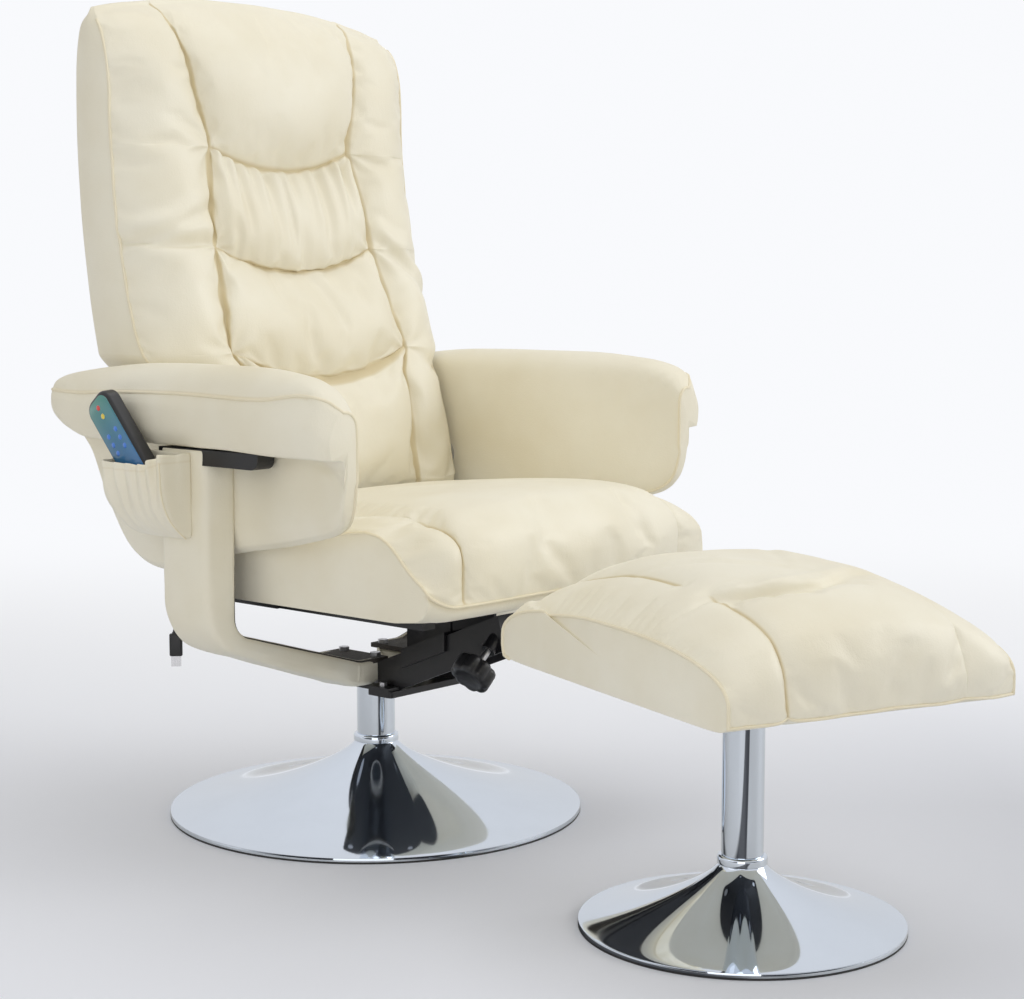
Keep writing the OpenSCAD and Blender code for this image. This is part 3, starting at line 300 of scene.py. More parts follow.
def rubbery(name):
    f = Finish(name, (0.03, 0.03, 0.032), 0.6)
    where = f.place()
    f.set("Roughness", 0.5 + 0.2 * f.noise(where, 60, 3))
    dust = f.ramp(f.noise(where, 25, 4), 0.5, 0.8) * 0.5
    f.set("Base Color", f.blend(dust, (0.026, 0.026, 0.028), (0.06, 0.058, 0.056)))
    f.relief((f.noise(where, 900, 2), 0.0002, 0.4))
    return f.material


def printed_board(name):
    f = Finish(name, (0.03, 0.17, 0.07), 0.4)
    f.set("Base Color", f.node("ShaderNodeTexBrick", {"offset": 0.3}, {
        "Vector": f.place(scale=(220, 220, 220), turn=(1.571, 0, 1.571)), "Scale": 1.0, "Mortar Size": 0.06,
        "Color1": (0.025, 0.15, 0.06, 1), "Color2": (0.03, 0.2, 0.08, 1), "Mortar": (0.3, 0.24, 0.09, 1)}))
    f.relief((f.noise(f.place(), 600, 1), 0.0002, 0.3))
    return f.material


def handset_print(name):
    """Face that turns from one colour to another along its length"""
    h = hardware()
    f = Finish(name, h.face_top, 0.2, Coat_Weight=0.7)
    stops = [(0.0, tuple(h.face_low)), (0.55, (0.03, 0.17, 0.32)), (1.0, tuple(h.face_top))]
    f.set("Base Color", f.node("ShaderNodeValToRGB", {"stops": stops}, {0: f.own("seam")}))
    f.set("Roughness", 0.16 + 0.08 * f.noise(f.place(), 90, 2))
    return f.material


FINISHES = {
    "cream_leather": (leather,),
    "piping_leather": (leather, (0.99, 0.955, 0.88)),
    "chrome": (chrome,),
    "base_rubber": (rubbery,),
    "lead_rubber": (rubbery,),
    "ballast": (coated_steel, (0.07, 0.07, 0.075), 0.7),
    "black_steel": (coated_steel, (0.012, 0.012, 0.014), 0.34),
    "frame_steel": (woven, (0.035, 0.028, 0.022)),
    "lining": (woven, (0.012, 0.012, 0.014)),
    "steel": (bright_steel, (0.6, 0.6, 0.62), 0.3),
    "plug_metal": (bright_steel, (0.75, 0.75, 0.78), 0.2),
    "bush_plastic": (moulded, (0.8, 0.79, 0.75), 0.5),
    "plywood": (plywood,),
    "black_plastic": (moulded, (0.018, 0.018, 0.02), 0.32),
    "handset_face": (handset_print,),
    "circuit_board": (printed_board,),
    "red_button": (gloss, (0.75, 0.05, 0.04)),
    "yellow_button": (gloss, (0.85, 0.66, 0.08)),
    "blue_button": (gloss, (0.05, 0.22, 0.75)),
}
MADE = {}


def finish(name):
    """The material of that name, made the first time that it is asked for"""
    if name not in MADE:
        maker, *values = FINISHES[name]
        MADE[name] = maker(name, *values)
    return MADE[name]


# Curves and shares

def clamp(x):
    return min(1, max(0, x))


def soft_step(x):
    """Rises from 0 to 1 with no corner"""
    x = clamp(x)
    return x * x * (3 - 2 * x)


def bell(x, width):
    """Bump that is 1 at 0 and fades over the width"""
    return math.exp(-(x / width) ** 2)


def fullness(along, power=0.5):
    """How far a panel stands up between its two seams"""
    return math.sin(math.pi * clamp(along)) ** power


def ripple(point, scale, seed):
    """Smooth noise between about -1 and 1"""
    return noise.noise(Vector(point) * scale + Vector((seed, seed * 0.7, seed * 1.3)))


def crease(distance, depth, width, share):
    """A fold's valley with a soft ridge above it"""
    return share * depth * (0.55 * bell(distance - 2.4 * width, 1.6 * width) - bell(distance, width))


def pucker(x, z, corners):
    """Short folds that fan out from where seams meet"""
    out = 0
    for corner_x, corner_z in corners:
        dx, dz = abs(x) - corner_x, z - corner_z
        far = math.hypot(dx, dz)
        out += math.cos(7 * math.atan2(dz, dx) + corner_x * 40) * math.exp(-far / 0.032) * min(1, far / 0.012)
    return out


def hermite(x, start, leave, end, arrive):
    """Point on a smooth curve between two points, from the slopes at both"""
    return ((2 * x**3 - 3 * x**2 + 1) * start + (x**3 - 2 * x**2 + x) * leave
        + (3 * x**2 - 2 * x**3) * end + (x**3 - x**2) * arrive)


class Table:
    """Smooth curve through rows of (place, value), which never passes beyond them"""

    def __init__(self, *rows):
        self.t, self.v = np.array(rows, float).T
        step = np.diff(self.v) / np.diff(self.t)
        self.s = np.concatenate([[step[0]], np.zeros(len(step) - 1), [step[-1]]])
        for k in range(1, len(step)):
            if step[k - 1] * step[k] > 0:
                self.s[k] = 2 * step[k - 1] * step[k] / (step[k - 1] + step[k])

    def __call__(self, t):
        t = min(max(t, self.t[0]), self.t[-1])
        k = min(int(np.searchsorted(self.t, t, side="right")) - 1, len(self.t) - 2)
        h = self.t[k + 1] - self.t[k]
        return hermite((t - self.t[k]) / h, self.v[k], h * self.s[k], self.v[k + 1], h * self.s[k + 1])


def squircle(angle, power):
    """Point of a superellipse at an angle in degrees"""
    c, s = math.cos(math.radians(angle)), math.sin(math.radians(angle))
    return (math.copysign(abs(c) ** (2 / power), c), math.copysign(abs(s) ** (2 / power), s))


def arc(x, y, r, start):
    """Quarter of a circle about a centre, from its start in degrees"""
    turns = [math.radians(start + g) for g in (0, 22, 45, 68, 90)]
    return [(x + r * math.cos(g), y + r * math.sin(g)) for g in turns]


def evenly(points, count):
    """Count points at even steps along an open line of points, both ends kept"""
    points = np.asarray(points, float)
    run = np.concatenate([[0], np.cumsum(np.linalg.norm(np.diff(points, axis=0), axis=1))])
    at = np.linspace(0, run[-1], count)
    return np.stack([np.interp(at, run, points[:, k]) for k in range(points.shape[1])], axis=1)


def stepped(parts, counts):
    """A line's parts one after another, each in its own count of even steps"""
    return np.concatenate([evenly(part, n + 1)[:-1] for part, n in zip(parts, counts)])


def across(seam, outer, inner):
    """Places from -1 to 1 over two outer panels and the one between their seams, closer together at the seams.
    With each comes how far along its panel it is."""
    panels = ((-1, -seam, outer), (-seam, seam, inner), (seam, 1, outer))
    return [(a + (b - a) * (1 - math.cos(math.pi * k / n)) / 2, k / n) for a, b, n in panels for k in range(n)] + [(1, 1)]


def rounded_line(rows, steps=8, closed=False):
    """Line with rounded corners, from rows of (across, up, radius)"""
    out, n = [], len(rows)
    for i, (x, z, r) in enumerate(rows):
        p = Vector((x, z))
        if r <= 0 or (not closed and i in (0, n - 1)):
            out.append(p)
            continue
        u = (Vector(rows[i - 1][:2]) - p).normalized()
        v = (Vector(rows[(i + 1) % n][:2]) - p).normalized()
        half = u.angle(v) / 2
        centre = p + (u + v).normalized() * r / math.sin(half)
        a = p + u * r / math.tan(half) - centre
        b = p + v * r / math.tan(half) - centre
        turn = math.atan2(a.x * b.y - a.y * b.x, a.dot(b))
        out += [centre + Matrix.Rotation(turn * k / steps, 2) @ a for k in range(steps + 1)]
    return np.array([tuple(p) for p in out])


def through(points, each):
    """Closed line through points, smooth but for those marked 1 or 2 as corners, with as many steps between each pair"""
    out, n = [], len(points)
    for k in range(n):
        p0, p1, p2, p3 = (np.array(points[(k + d) % n][:2]) for d in (-1, 0, 1, 2))
        leave = (p2 - p1) if points[k][2] else (p2 - p0) / 2
        arrive = (p2 - p1) if points[(k + 1) % n][2] else (p3 - p1) / 2
        reach = np.linalg.norm(p2 - p1)
        for slope in (leave, arrive):
            size = np.linalg.norm(slope)
            if size > reach:
                slope *= reach / size
        out += [hermite(step / each, p1, leave, p2, arrive) for step in range(each)]
    return out


# Rings, skins and pieces

def closing(ring, centre, shares, puff=(0, 0, 0)):
    """Rings that close an open end, from its centre outwards"""
    return [np.asarray(centre) + (ring - centre) * s + np.asarray(puff) * (1 - s * s) for s in shares]


def capped(head, rings, tail, marks):
    """A skin's rings between those that close its ends, both given from the centre outwards, with all their marks"""
    bare = [np.zeros((len(part), rings.shape[1])) for part in (head, tail)]
    return np.concatenate([head, rings, tail[::-1]]), np.concatenate([bare[0], marks, bare[1]])


def pushed(rings, depth):
    """Rings moved along their skin's outward side by a table of depths"""
    along = np.roll(rings, -1, axis=1) - np.roll(rings, 1, axis=1)
    out = np.cross(along, np.gradient(rings, axis=0))
    size = np.linalg.norm(out, axis=2, keepdims=True)
    out = out / np.where(size > 1e-12, size, 1)
    if ((rings - rings.mean(axis=1, keepdims=True)) * out).sum() < 0:
        out = -out
    return rings + out * np.asarray(depth)[:, :, None]


def mirrored(rings, side):
    """The rings as they are where side is -1, and for the other side where it is 1"""
    return rings * np.array([-side, 1, 1])


def placed(name, data):
    """New object at the origin"""
    made = bpy.data.objects.new(name, data)
    bpy.context.scene.collection.objects.link(made)
    return made


def as_mesh(bm, name):
    mesh = bpy.data.meshes.new(name)
    bm.to_mesh(mesh)
    bm.free()
    return mesh


def settle(bm, name, material, body, node=None, crease=40, move=None):
    """The finished piece, which rides on its body and stands for a node: smooth but for edges sharper than the crease"""
    if move is not None:
        bmesh.ops.transform(bm, matrix=move, verts=bm.verts)
    for face in bm.faces:
        face.smooth = True
    for edge in bm.edges:
        edge.smooth = len(edge.link_faces) == 2 and edge.calc_face_angle(0) < math.radians(crease)
    piece = placed(name, as_mesh(bm, name))
    piece.data.materials.append(finish(material))
    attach(piece, body)
    if node:
        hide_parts(node)
    return piece


def lofted(rings, marks=None):
    """Skin over closed rings of points"""
    rings = np.asarray(rings, float)
    rows, places = rings.shape[0] - 1, rings.shape[1]
    bm = bmesh.new()
    spot, seam = bm.verts.layers.int.new("spot"), bm.verts.layers.float.new("seam")
    bmesh.ops.create_grid(bm, x_segments=places, y_segments=rows, size=1)
    for v in bm.verts:
        i = round((v.co.x + 1) / 2 * places) % places
        j = round((v.co.y + 1) / 2 * rows)
        v.co = rings[j, i]
        v[spot] = j * places + i
        v[seam] = 0 if marks is None else float(marks[j][i])
    bmesh.ops.remove_doubles(bm, verts=bm.verts, dist=2e-6)
    bmesh.ops.recalc_face_normals(bm, faces=bm.faces)
    return bm


def tube_rings(line, radius, sides=8):
    """Round sections along a line of points, with rounded ends"""
    line = [Vector(p) for p in line]
    across_way, out = None, []
    last = len(line) - 1
    for k, p in enumerate(line):
        way = (line[min(k + 1, last)] - line[max(k - 1, 0)]).normalized()
        if across_way is None:
            across_way = way.orthogonal().normalized()
        across_way = (across_way - way * across_way.dot(way)).normalized()
        other = way.cross(across_way)
        turns = [2 * math.pi * i / sides for i in range(sides)]
        ring = lambda r, shift: [tuple(p + way * shift + (across_way * math.cos(a) + other * math.sin(a)) * r)
            for a in turns]
        if k == 0:
            out += [ring(0, -radius), ring(radius * 0.7, -radius * 0.7)]
        out.append(ring(radius, 0))
        if k == last:
            out += [ring(radius * 0.7, radius * 0.7), ring(0, radius)]
    return np.array(out)


def piping(name, line, body, radius=None, spacing=0.006):
    """Covered cord sewn along an edge"""
    line = np.asarray(line, float)
    length = np.linalg.norm(np.diff(line, axis=0), axis=1).sum()
    rings = tube_rings(evenly(line, max(6, int(length / spacing))), radius or upholstery().piping)
    marks = np.full(rings.shape[:2], 0.12)
    settle(lofted(rings, marks), name, "piping_leather", body, crease=80)


def stuff(piece, held, cap, pressure):
    """Lets stuffing press the cover out: a short cloth simulation, whose capped result stays in the mesh.
    Held is 1 at the spots of the rings that sewing or a neighbour keeps in place. Returns the rings."""
    mesh = piece.data
    spots = np.array([d.value for d in mesh.attributes["spot"].data])
    start = np.array([v.co[:] for v in mesh.vertices])
    sewn = held.ravel()[spots]
    group = piece.vertex_groups.new(name="held")
    group.add([int(k) for k in np.nonzero(sewn)[0]], 1.0, "REPLACE")
    cloth = piece.modifiers.new("Stuffing", "CLOTH")
    s = cloth.settings
    s.quality, s.mass = 6, 0.25
    s.tension_stiffness = s.compression_stiffness = 12
    s.shear_stiffness, s.bending_stiffness = 4, 0.4
    s.tension_damping = s.compression_damping = 12
    s.use_pressure, s.uniform_pressure_force = True, pressure
    s.shrink_min = s.shrink_max = -0.03
    s.vertex_group_mass, s.pin_stiffness = "held", 1.0
    s.effector_weights.gravity = 0
    cloth.collision_settings.use_collision = False
    scene = bpy.context.scene
    for step in range(1, 21):
        scene.frame_set(step)
    seen = piece.evaluated_get(bpy.context.evaluated_depsgraph_get())
    after = np.array([v.co[:] for v in seen.data.vertices])
    piece.modifiers.remove(cloth)
    piece.vertex_groups.remove(group)
    scene.frame_set(1)
    move = after - start
    size = np.linalg.norm(move, axis=1, keepdims=True)
    start = start + move * np.minimum(1, cap / np.maximum(size, 1e-9)) * (1 - sewn)[:, None]
    mesh.vertices.foreach_set("co", start.ravel())
    mesh.update()
    rings = np.zeros((held.size, 3))
    rings[spots] = start
    return rings.reshape(*held.shape, 3)


def upholster(full, marks, name, body, node, held=None, cap=0, pressure=4.0, move=None):
    """Padded cover that stands for a node, stuffed where some of its spots are held. Returns its rings."""
    piece = settle(lofted(full, marks), name, "cream_leather", body, node, crease=180)
    if held is not None:
        full = stuff(piece, held, cap, pressure)
    soften = piece.modifiers.new("Soften", "SUBSURF")
    soften.levels = soften.render_levels = 1
    if move is not None:
        piece.data.transform(move)
        full = np.array([[tuple(move @ Vector(p)) for p in ring] for ring in full])
    return full


def spun(profile, steps=128, closed=False):
    """Profile in the XZ plane turned about the vertical axis"""
    bm = bmesh.new()
    verts = [bm.verts.new((x, 0, z)) for x, z in profile]
    pairs = list(zip(verts, verts[1:])) + ([(verts[-1], verts[0])] if closed else [])
    edges = [bm.edges.new(pair) for pair in pairs]
    bmesh.ops.spin(bm, geom=verts + edges, cent=(0, 0, 0), axis=(0, 0, 1), dvec=(0, 0, 0), angle=2 * math.pi,
        steps=steps, use_merge=True)
    bmesh.ops.remove_doubles(bm, verts=bm.verts, dist=1e-6)
    bmesh.ops.recalc_face_normals(bm, faces=bm.faces)
    return bm


def slab(size, corner, rim, along, corner_steps, rim_steps):
    """Block with rounded corners about one axis and softened rims"""
    bm = bmesh.new()
    bmesh.ops.create_cube(bm, size=1)
    bmesh.ops.scale(bm, vec=size, verts=bm.verts)

    def soften(edges, offset, segments):
        bmesh.ops.bevel(bm, geom=edges, offset=offset, offset_type="OFFSET", affect="EDGES", segments=segments,
            profile=0.5, material=-1)

    runs = lambda e: abs(e.verts[0].co[along] - e.verts[1].co[along]) > 1e-6
    soften([e for e in bm.edges if runs(e)], corner, corner_steps)
    at_end = lambda e: abs(abs(e.verts[0].co[along]) - size[along] / 2) < 1e-6
    soften([e for e in bm.edges if not runs(e) and at_end(e) and any(abs(f.normal[along]) < 0.5 for f in e.link_faces)],
        rim, rim_steps)
    return bm


# Back

BACK = Sizes(low=0.421, high=0.635, foot=0.040, run=0.195, half_low=0.238, half_top=0.260)
BACK_FRONT = Table((0, 0), (0.21, 0.1), (0.31, 0.23), (0.43, 0.37), (0.58, 0.51), (0.71, 0.61), (0.87, 0.68), (0.94, 0.78),
    (0.98, 0.88), (1, 0.98))
BACK_WELT = Table((0, 0.2), (0.21, 0.38), (0.27, 0.51), (0.33, 0.61), (0.43, 0.71), (0.58, 0.79), (0.72, 0.826),
    (0.86, 0.84), (0.94, 0.9), (0.98, 0.97), (1, 1.02))
BACK_REAR = Table((0, 0.8), (0.06, 0.85), (0.26, 1.02), (0.41, 1.12), (0.59, 1.19), (0.73, 1.21), (0.85, 1.2),
    (0.94, 1.16), (0.98, 1.12), (1, 1.07))
BACK_FLARE = Table((0, 0), (0.235, 0), (0.255, 0.4), (0.27, 0.82), (0.285, 1), (1, 1))
BACK_TAPER = Table((0, 1), (0.9, 1), (0.96, 0.995), (1, 0.97))
BACK_SEAM = Table((0, 0.586), (0.22, 0.572), (0.28, 0.597), (0.42, 0.555), (0.5, 0.53), (0.56, 0.525), (0.66, 0.49),
    (0.71, 0.47), (0.75, 0.495), (0.81, 0.535), (0.9, 0.578), (0.97, 0.625), (1, 0.66))
BACK_GROOVE = Table((0, 1.1), (0.3, 1.2), (0.42, 1.35), (0.54, 1.4), (0.66, 1.2), (0.74, 1.05), (0.81, 1.0), (0.9, 0.8),
    (0.97, 0.45), (1, 0.3))
# The seams between the back's four panels, how far each sags, and the rows in each panel
BACK_ROWS = [0, 0.285, 0.495, 0.7, 1]
BACK_SAGS = [0, 0.057, 0.047, 0.044, 0]
BACK_STEPS = [22, 26, 26, 34]
TOP_PANEL = 3
BOLSTER_STEPS, CENTRE_STEPS, SIDE_STEPS = 16, 54, 8
LEFT_SEAM, RIGHT_SEAM = BOLSTER_STEPS, BOLSTER_STEPS + CENTRE_STEPS
FRONT_SPOTS = BOLSTER_STEPS * 2 + CENTRE_STEPS + 1


def back_row(t, panel, along, sag):
    """One row of the back's cover, with the seam marks of its places"""
    b, seam_depth = BACK, upholstery().seam_depth
    seam, z = BACK_SEAM(t), b.low + b.high * t
    crown, welt, rear = (b.foot + b.run * table(t) for table in (BACK_FRONT, BACK_WELT, BACK_REAR))
    half = (b.half_low + (b.half_top - b.half_low) * BACK_FLARE(t)) * BACK_TAPER(t)
    drop = lambda s: 0.026 * t**8 * abs(s) ** 2.5
    sewn_low, sewn_high = panel > 0, panel < TOP_PANEL
    rise = fullness(along if sewn_low and sewn_high else along / 2, 0.42)
    front, marks = [], []
    spots = across(seam, BOLSTER_STEPS, CENTRE_STEPS)
    for k, (s, part) in enumerate(spots):
        centre = LEFT_SEAM <= k <= RIGHT_SEAM
        beside = part if k < LEFT_SEAM else 1 - part
        lift = fullness(part, 0.45) * rise if centre else fullness(0.5 + beside / 2, 0.45)
        y = crown + (welt - crown) * abs(s) ** 6 + seam_depth * BACK_GROOVE(t) * (1 - lift)
        if centre and panel == TOP_PANEL:
            y -= 0.012 * fullness(along * 1.3, 0.8) * (1 - (s / seam) ** 4) * (1 - along) ** 0.6
        front.append((s * half, y, b.low + b.high * (t - sag * max(0, 1 - (s / seam) ** 2)) - drop(s)))
        beside_seam = abs(abs(s) - seam) * half
        to_seam = min(along if sewn_low else 1, 1 - along if sewn_high else 1) * b.high * 0.2 if centre else 1
        # Painted shade with the seam line: these marks darken the leather down in the seams between the panels
        marks.append(max(bell(beside_seam, 0.0022), bell(to_seam, 0.0024)))
    corner = (rear - welt) / 6
    right = [(half + 0.004 * math.sin(math.pi * k / SIDE_STEPS), welt + (rear - corner - welt) * k / SIDE_STEPS,
        z - drop(1)) for k in range(1, SIDE_STEPS)]
    back = []
    for s, _ in reversed(spots):
        rounding = 1 - max(0, 1 - abs(s) ** 8) ** (1 / 8)
        back.append((s * half, rear - corner * rounding, z - drop(s)))
    left = [(-x, y, up) for x, y, up in reversed(right)]
    row = front + right + back + left
    return row, marks + [0] * (len(row) - len(marks))


def back_folds(rings, seam_rows):
    """Depths of the gathers under the upper seam, and of the soft creases in the lap panel and on the bolsters"""
    depth = np.zeros(rings.shape[:2])
    lap, first, second = seam_rows[1:]
    corners = [rings[j, RIGHT_SEAM, [0, 2]] for j in seam_rows[1:]]
    for j in range(rings.shape[0]):
        for i in range(FRONT_SPOTS):
            x, _, z = rings[j, i]
            centre = LEFT_SEAM < i < RIGHT_SEAM
            if centre and first < j < second:
                below, above = rings[second, i, 2] - z, z - rings[first, i, 2]
                fade = math.exp(-below / 0.05) * min(1, below / 0.008)
                fade += 0.3 * math.exp(-above / 0.03) * min(1, above / 0.008)
                wave = math.cos(x * 265 + 3.2 * ripple((x, 0, 0), 22, 3)) + 0.5 * math.cos(x * 130 + 1)
                folds = 2.7 * wave * fade * (0.75 + 0.6 * ripple((x, 0, 0), 16, 9))
                folds += 0.6 * ripple((x * 2.2, 0, z * 0.6), 22, 5)
            elif centre and lap < j <= first:
                folds = 0.8 * ripple((x * 1.5, 0, z + x * 0.8), 18, 8)
            elif centre:
                folds = 0.7 * ripple((x, 0, z + x * 0.6), 13, 11)
            else:
                folds = 0.8 * ripple((x, 0, z * 1.3 - abs(x) * 0.9), 15, 15)
            depth[j, i] = upholstery().fold * (folds + 0.9 * pucker(x, z, corners))
            if i < BOLSTER_STEPS:
                part = fullness((i + 0.5) / BOLSTER_STEPS, 0.7)
                depth[j, i] += crease(z - 0.741, 0.010, 0.0085, part)
                depth[j, i] += crease(z - 0.738 - 0.39 * (x + 0.26), 0.006, 0.007, part * clamp((x + 0.27) / 0.04))
            elif i > FRONT_SPOTS - BOLSTER_STEPS:
                part = fullness((FRONT_SPOTS - i) / BOLSTER_STEPS, 0.7)
                depth[j, i] += crease(z - 0.748 + 0.9 * abs(x - 0.149), 0.010, 0.008, part)
    return depth


def folded_flat(ring):
    """The rear half of the back's collapsed ring laid onto its front half"""
    ring = ring.copy()
    start = FRONT_SPOTS + SIDE_STEPS - 1
    ring[start:start + FRONT_SPOTS] = ring[:FRONT_SPOTS][::-1]
    ring[FRONT_SPOTS:start] = ring[FRONT_SPOTS - 1]
    ring[start + FRONT_SPOTS:] = ring[0]
    return ring


def make_back():
    rows, marks, seam_rows = [], [], []
    for panel, steps in enumerate(BACK_STEPS):
        top = panel == TOP_PANEL
        seam_rows.append(len(rows))
        between = lambda ends, share: ends[panel] + (ends[panel + 1] - ends[panel]) * share
        for k in range(steps + top):
            ease = k / steps if top else (1 - math.cos(math.pi * k / steps)) / 2
            sag = between(BACK_SAGS, min(1, ease * 1.6) if top else ease)
            row, seam_and_shade = back_row(between(BACK_ROWS, ease), panel, ease, sag)
            rows.append(row)
            marks.append(seam_and_shade)
    rings = np.array(rows)
    count = rings.shape[1]
    rings = pushed(rings, back_folds(rings, seam_rows))
    top, foot = rings[-1], rings[0]
    middle = top.copy()
    middle[:, 1] = (top[0, 1] + top[FRONT_SPOTS + 12, 1]) / 2
    lids = []
    for a in (90, 72, 50, 25):
        c, s = math.cos(math.radians(a)), math.sin(math.radians(a))
        ring = middle + (top - middle) * c
        ring[:, 2] += 0.006 * s
        ring[:, 0] *= 1 - 0.012 * s
        lids.append(ring)
    middle = (foot[FRONT_SPOTS // 2, 1] + foot[FRONT_SPOTS + SIDE_STEPS + FRONT_SPOTS // 2, 1]) / 2
    drop = 0.012 + 0.014 * np.minimum(1, abs(foot[:, 0]) / BACK.half_low) ** 3
    floor = []
    for c in (0, 0.5, 0.9, 0.985):
        ring = foot.copy()
        ring[:, 1] = middle + (foot[:, 1] - middle) * c
        ring[:, 2] = BACK.low + (foot[:, 2] - BACK.low) * c - drop * (1 - c**8) ** 0.125
        floor.append(ring)
    for end in (lids, floor):
        end[0] = folded_flat(end[0])
    full, marks = capped(floor, rings, lids, marks)
    held = np.zeros(full.shape[:2])
    held[:4] = held[-6:] = 1
    held[:, FRONT_SPOTS - 1:] = held[:, 0] = 1
    held[:, [LEFT_SEAM, RIGHT_SEAM]] = 1
    for j in seam_rows[1:]:
        held[j + 4, LEFT_SEAM:RIGHT_SEAM + 1] = 1
    full = upholster(full, marks, "back_upholstery", "back", "back_cushion", held, upholstery().rise, 3.0)
    for name, column, start in (
        ("back_piping_left", 0, 4), ("back_piping_right", FRONT_SPOTS - 1, 4),
        ("back_rear_piping_left", count - SIDE_STEPS - 3, 5), ("back_rear_piping_right", FRONT_SPOTS + SIDE_STEPS + 2, 5),
    ):
        piping(name, full[start:len(rings) + 5 - start, column], "back")


# Seat and footstool cushions

SEAT = Sizes(half=0.248, front=0.346, rear=0.050, low=0.309, top=0.450, tilt=0.034, drop=0.036, bow=0.022, seam=0.79)
SEAT_COUNTS = (124, 34)
SEAT_SIDE_TOP = [(0.050, 0.346), (0.050, 0.372), (0.042, 0.381), (-0.137, 0.397), (-0.210, 0.407), (-0.236, 0.410),
    (-0.256, 0.407), (-0.271, 0.400), (-0.284, 0.389), (-0.297, 0.376), (-0.310, 0.365), (-0.324, 0.356), (-0.333, 0.347)]
SEAT_SIDE_LOW = [(-0.333, 0.347), (-0.334, 0.338), (-0.330, 0.324), (-0.320, 0.315), (-0.280, 0.310), (0.036, 0.309),
    (0.047, 0.313), (0.050, 0.325), (0.050, 0.346)]
STOOL = Sizes(half=0.174, length=0.2265, low=0.2728, side=0.0732, top=0.404, bulge=0.006, seam=0.62)
STOOL_COUNTS = (150, 40)
STOOL_PLACE = Matrix.Translation((-0.091, -0.652, 0)) @ Matrix.Rotation(math.radians(-20.5), 4, "Z")
END_RINGS = 5


def section(front, rear, low, waist, top, powers, tilt, welt_z, counts):
    """Closed section of a cushion in the YZ plane, from its rear waist over the top to the front welt, and back below"""
    points, turn = [], None
    for k in range(721):
        a = k / 2
        q = squircle(a, powers[min(int(a // 90), 3)])
        z = waist + ((top - waist) if q[1] > 0 else (waist - low)) * q[1]
        points.append(((rear + front) / 2 + (rear - front) / 2 * q[0], z - max(q[1], 0) * tilt * q[0] / 2))
        if turn is None and a > 150 and z <= welt_z:
            turn = k
    return stepped((points[:turn + 1], points[turn:]), counts)


def open_underside(rings, low, start):
    """Lifts the cover's underside inside its hem, so that the lined board shows below it"""
    half, front, rear = rings[:, :, 0].max(), rings[:, :, 1].min(), rings[:, :, 1].max()
    x, y, z = (rings[:, start:, k] for k in range(3))
    inside = np.minimum(half - abs(x), np.minimum(y - front, rear - y)) > 0.017
    rings[:, start:, 2] = np.where(inside & (z < low + 0.004), low + 0.0025, z)
    return rings


def boxed(rings, marks, welt, puff, seam=None, pinned=0):
    """Cushion whose two end rings are closed by side panels: its rings, marks and held spots.
    Welt is the first spot of the underside, and a seam at that place across is sewn down."""
    ends = []
    for ring, side in ((rings[0], -1), (rings[-1], 1)):
        centre = (ring.min(axis=0) + ring.max(axis=0)) / 2
        centre[0] = ring[0, 0]
        ends.append(closing(ring, centre, (0, 0.25, 0.55, 0.8, 0.95), (side * puff, 0, 0)))
    full, marks = capped(ends[0], rings, ends[1], marks)
    held = np.zeros(full.shape[:2])
    held[:END_RINGS + 1] = held[-END_RINGS - 1:] = 1
    held[:, welt:] = held[:, :3] = 1
    for j, ring in enumerate(rings):
        if seam and abs(abs(ring[0, 0]) - seam) < 0.001:
            held[j + END_RINGS, 10:] = 1
    skin = held[END_RINGS:-END_RINGS]
    skin[:] = np.maximum(skin, pinned)
    return full, marks, held


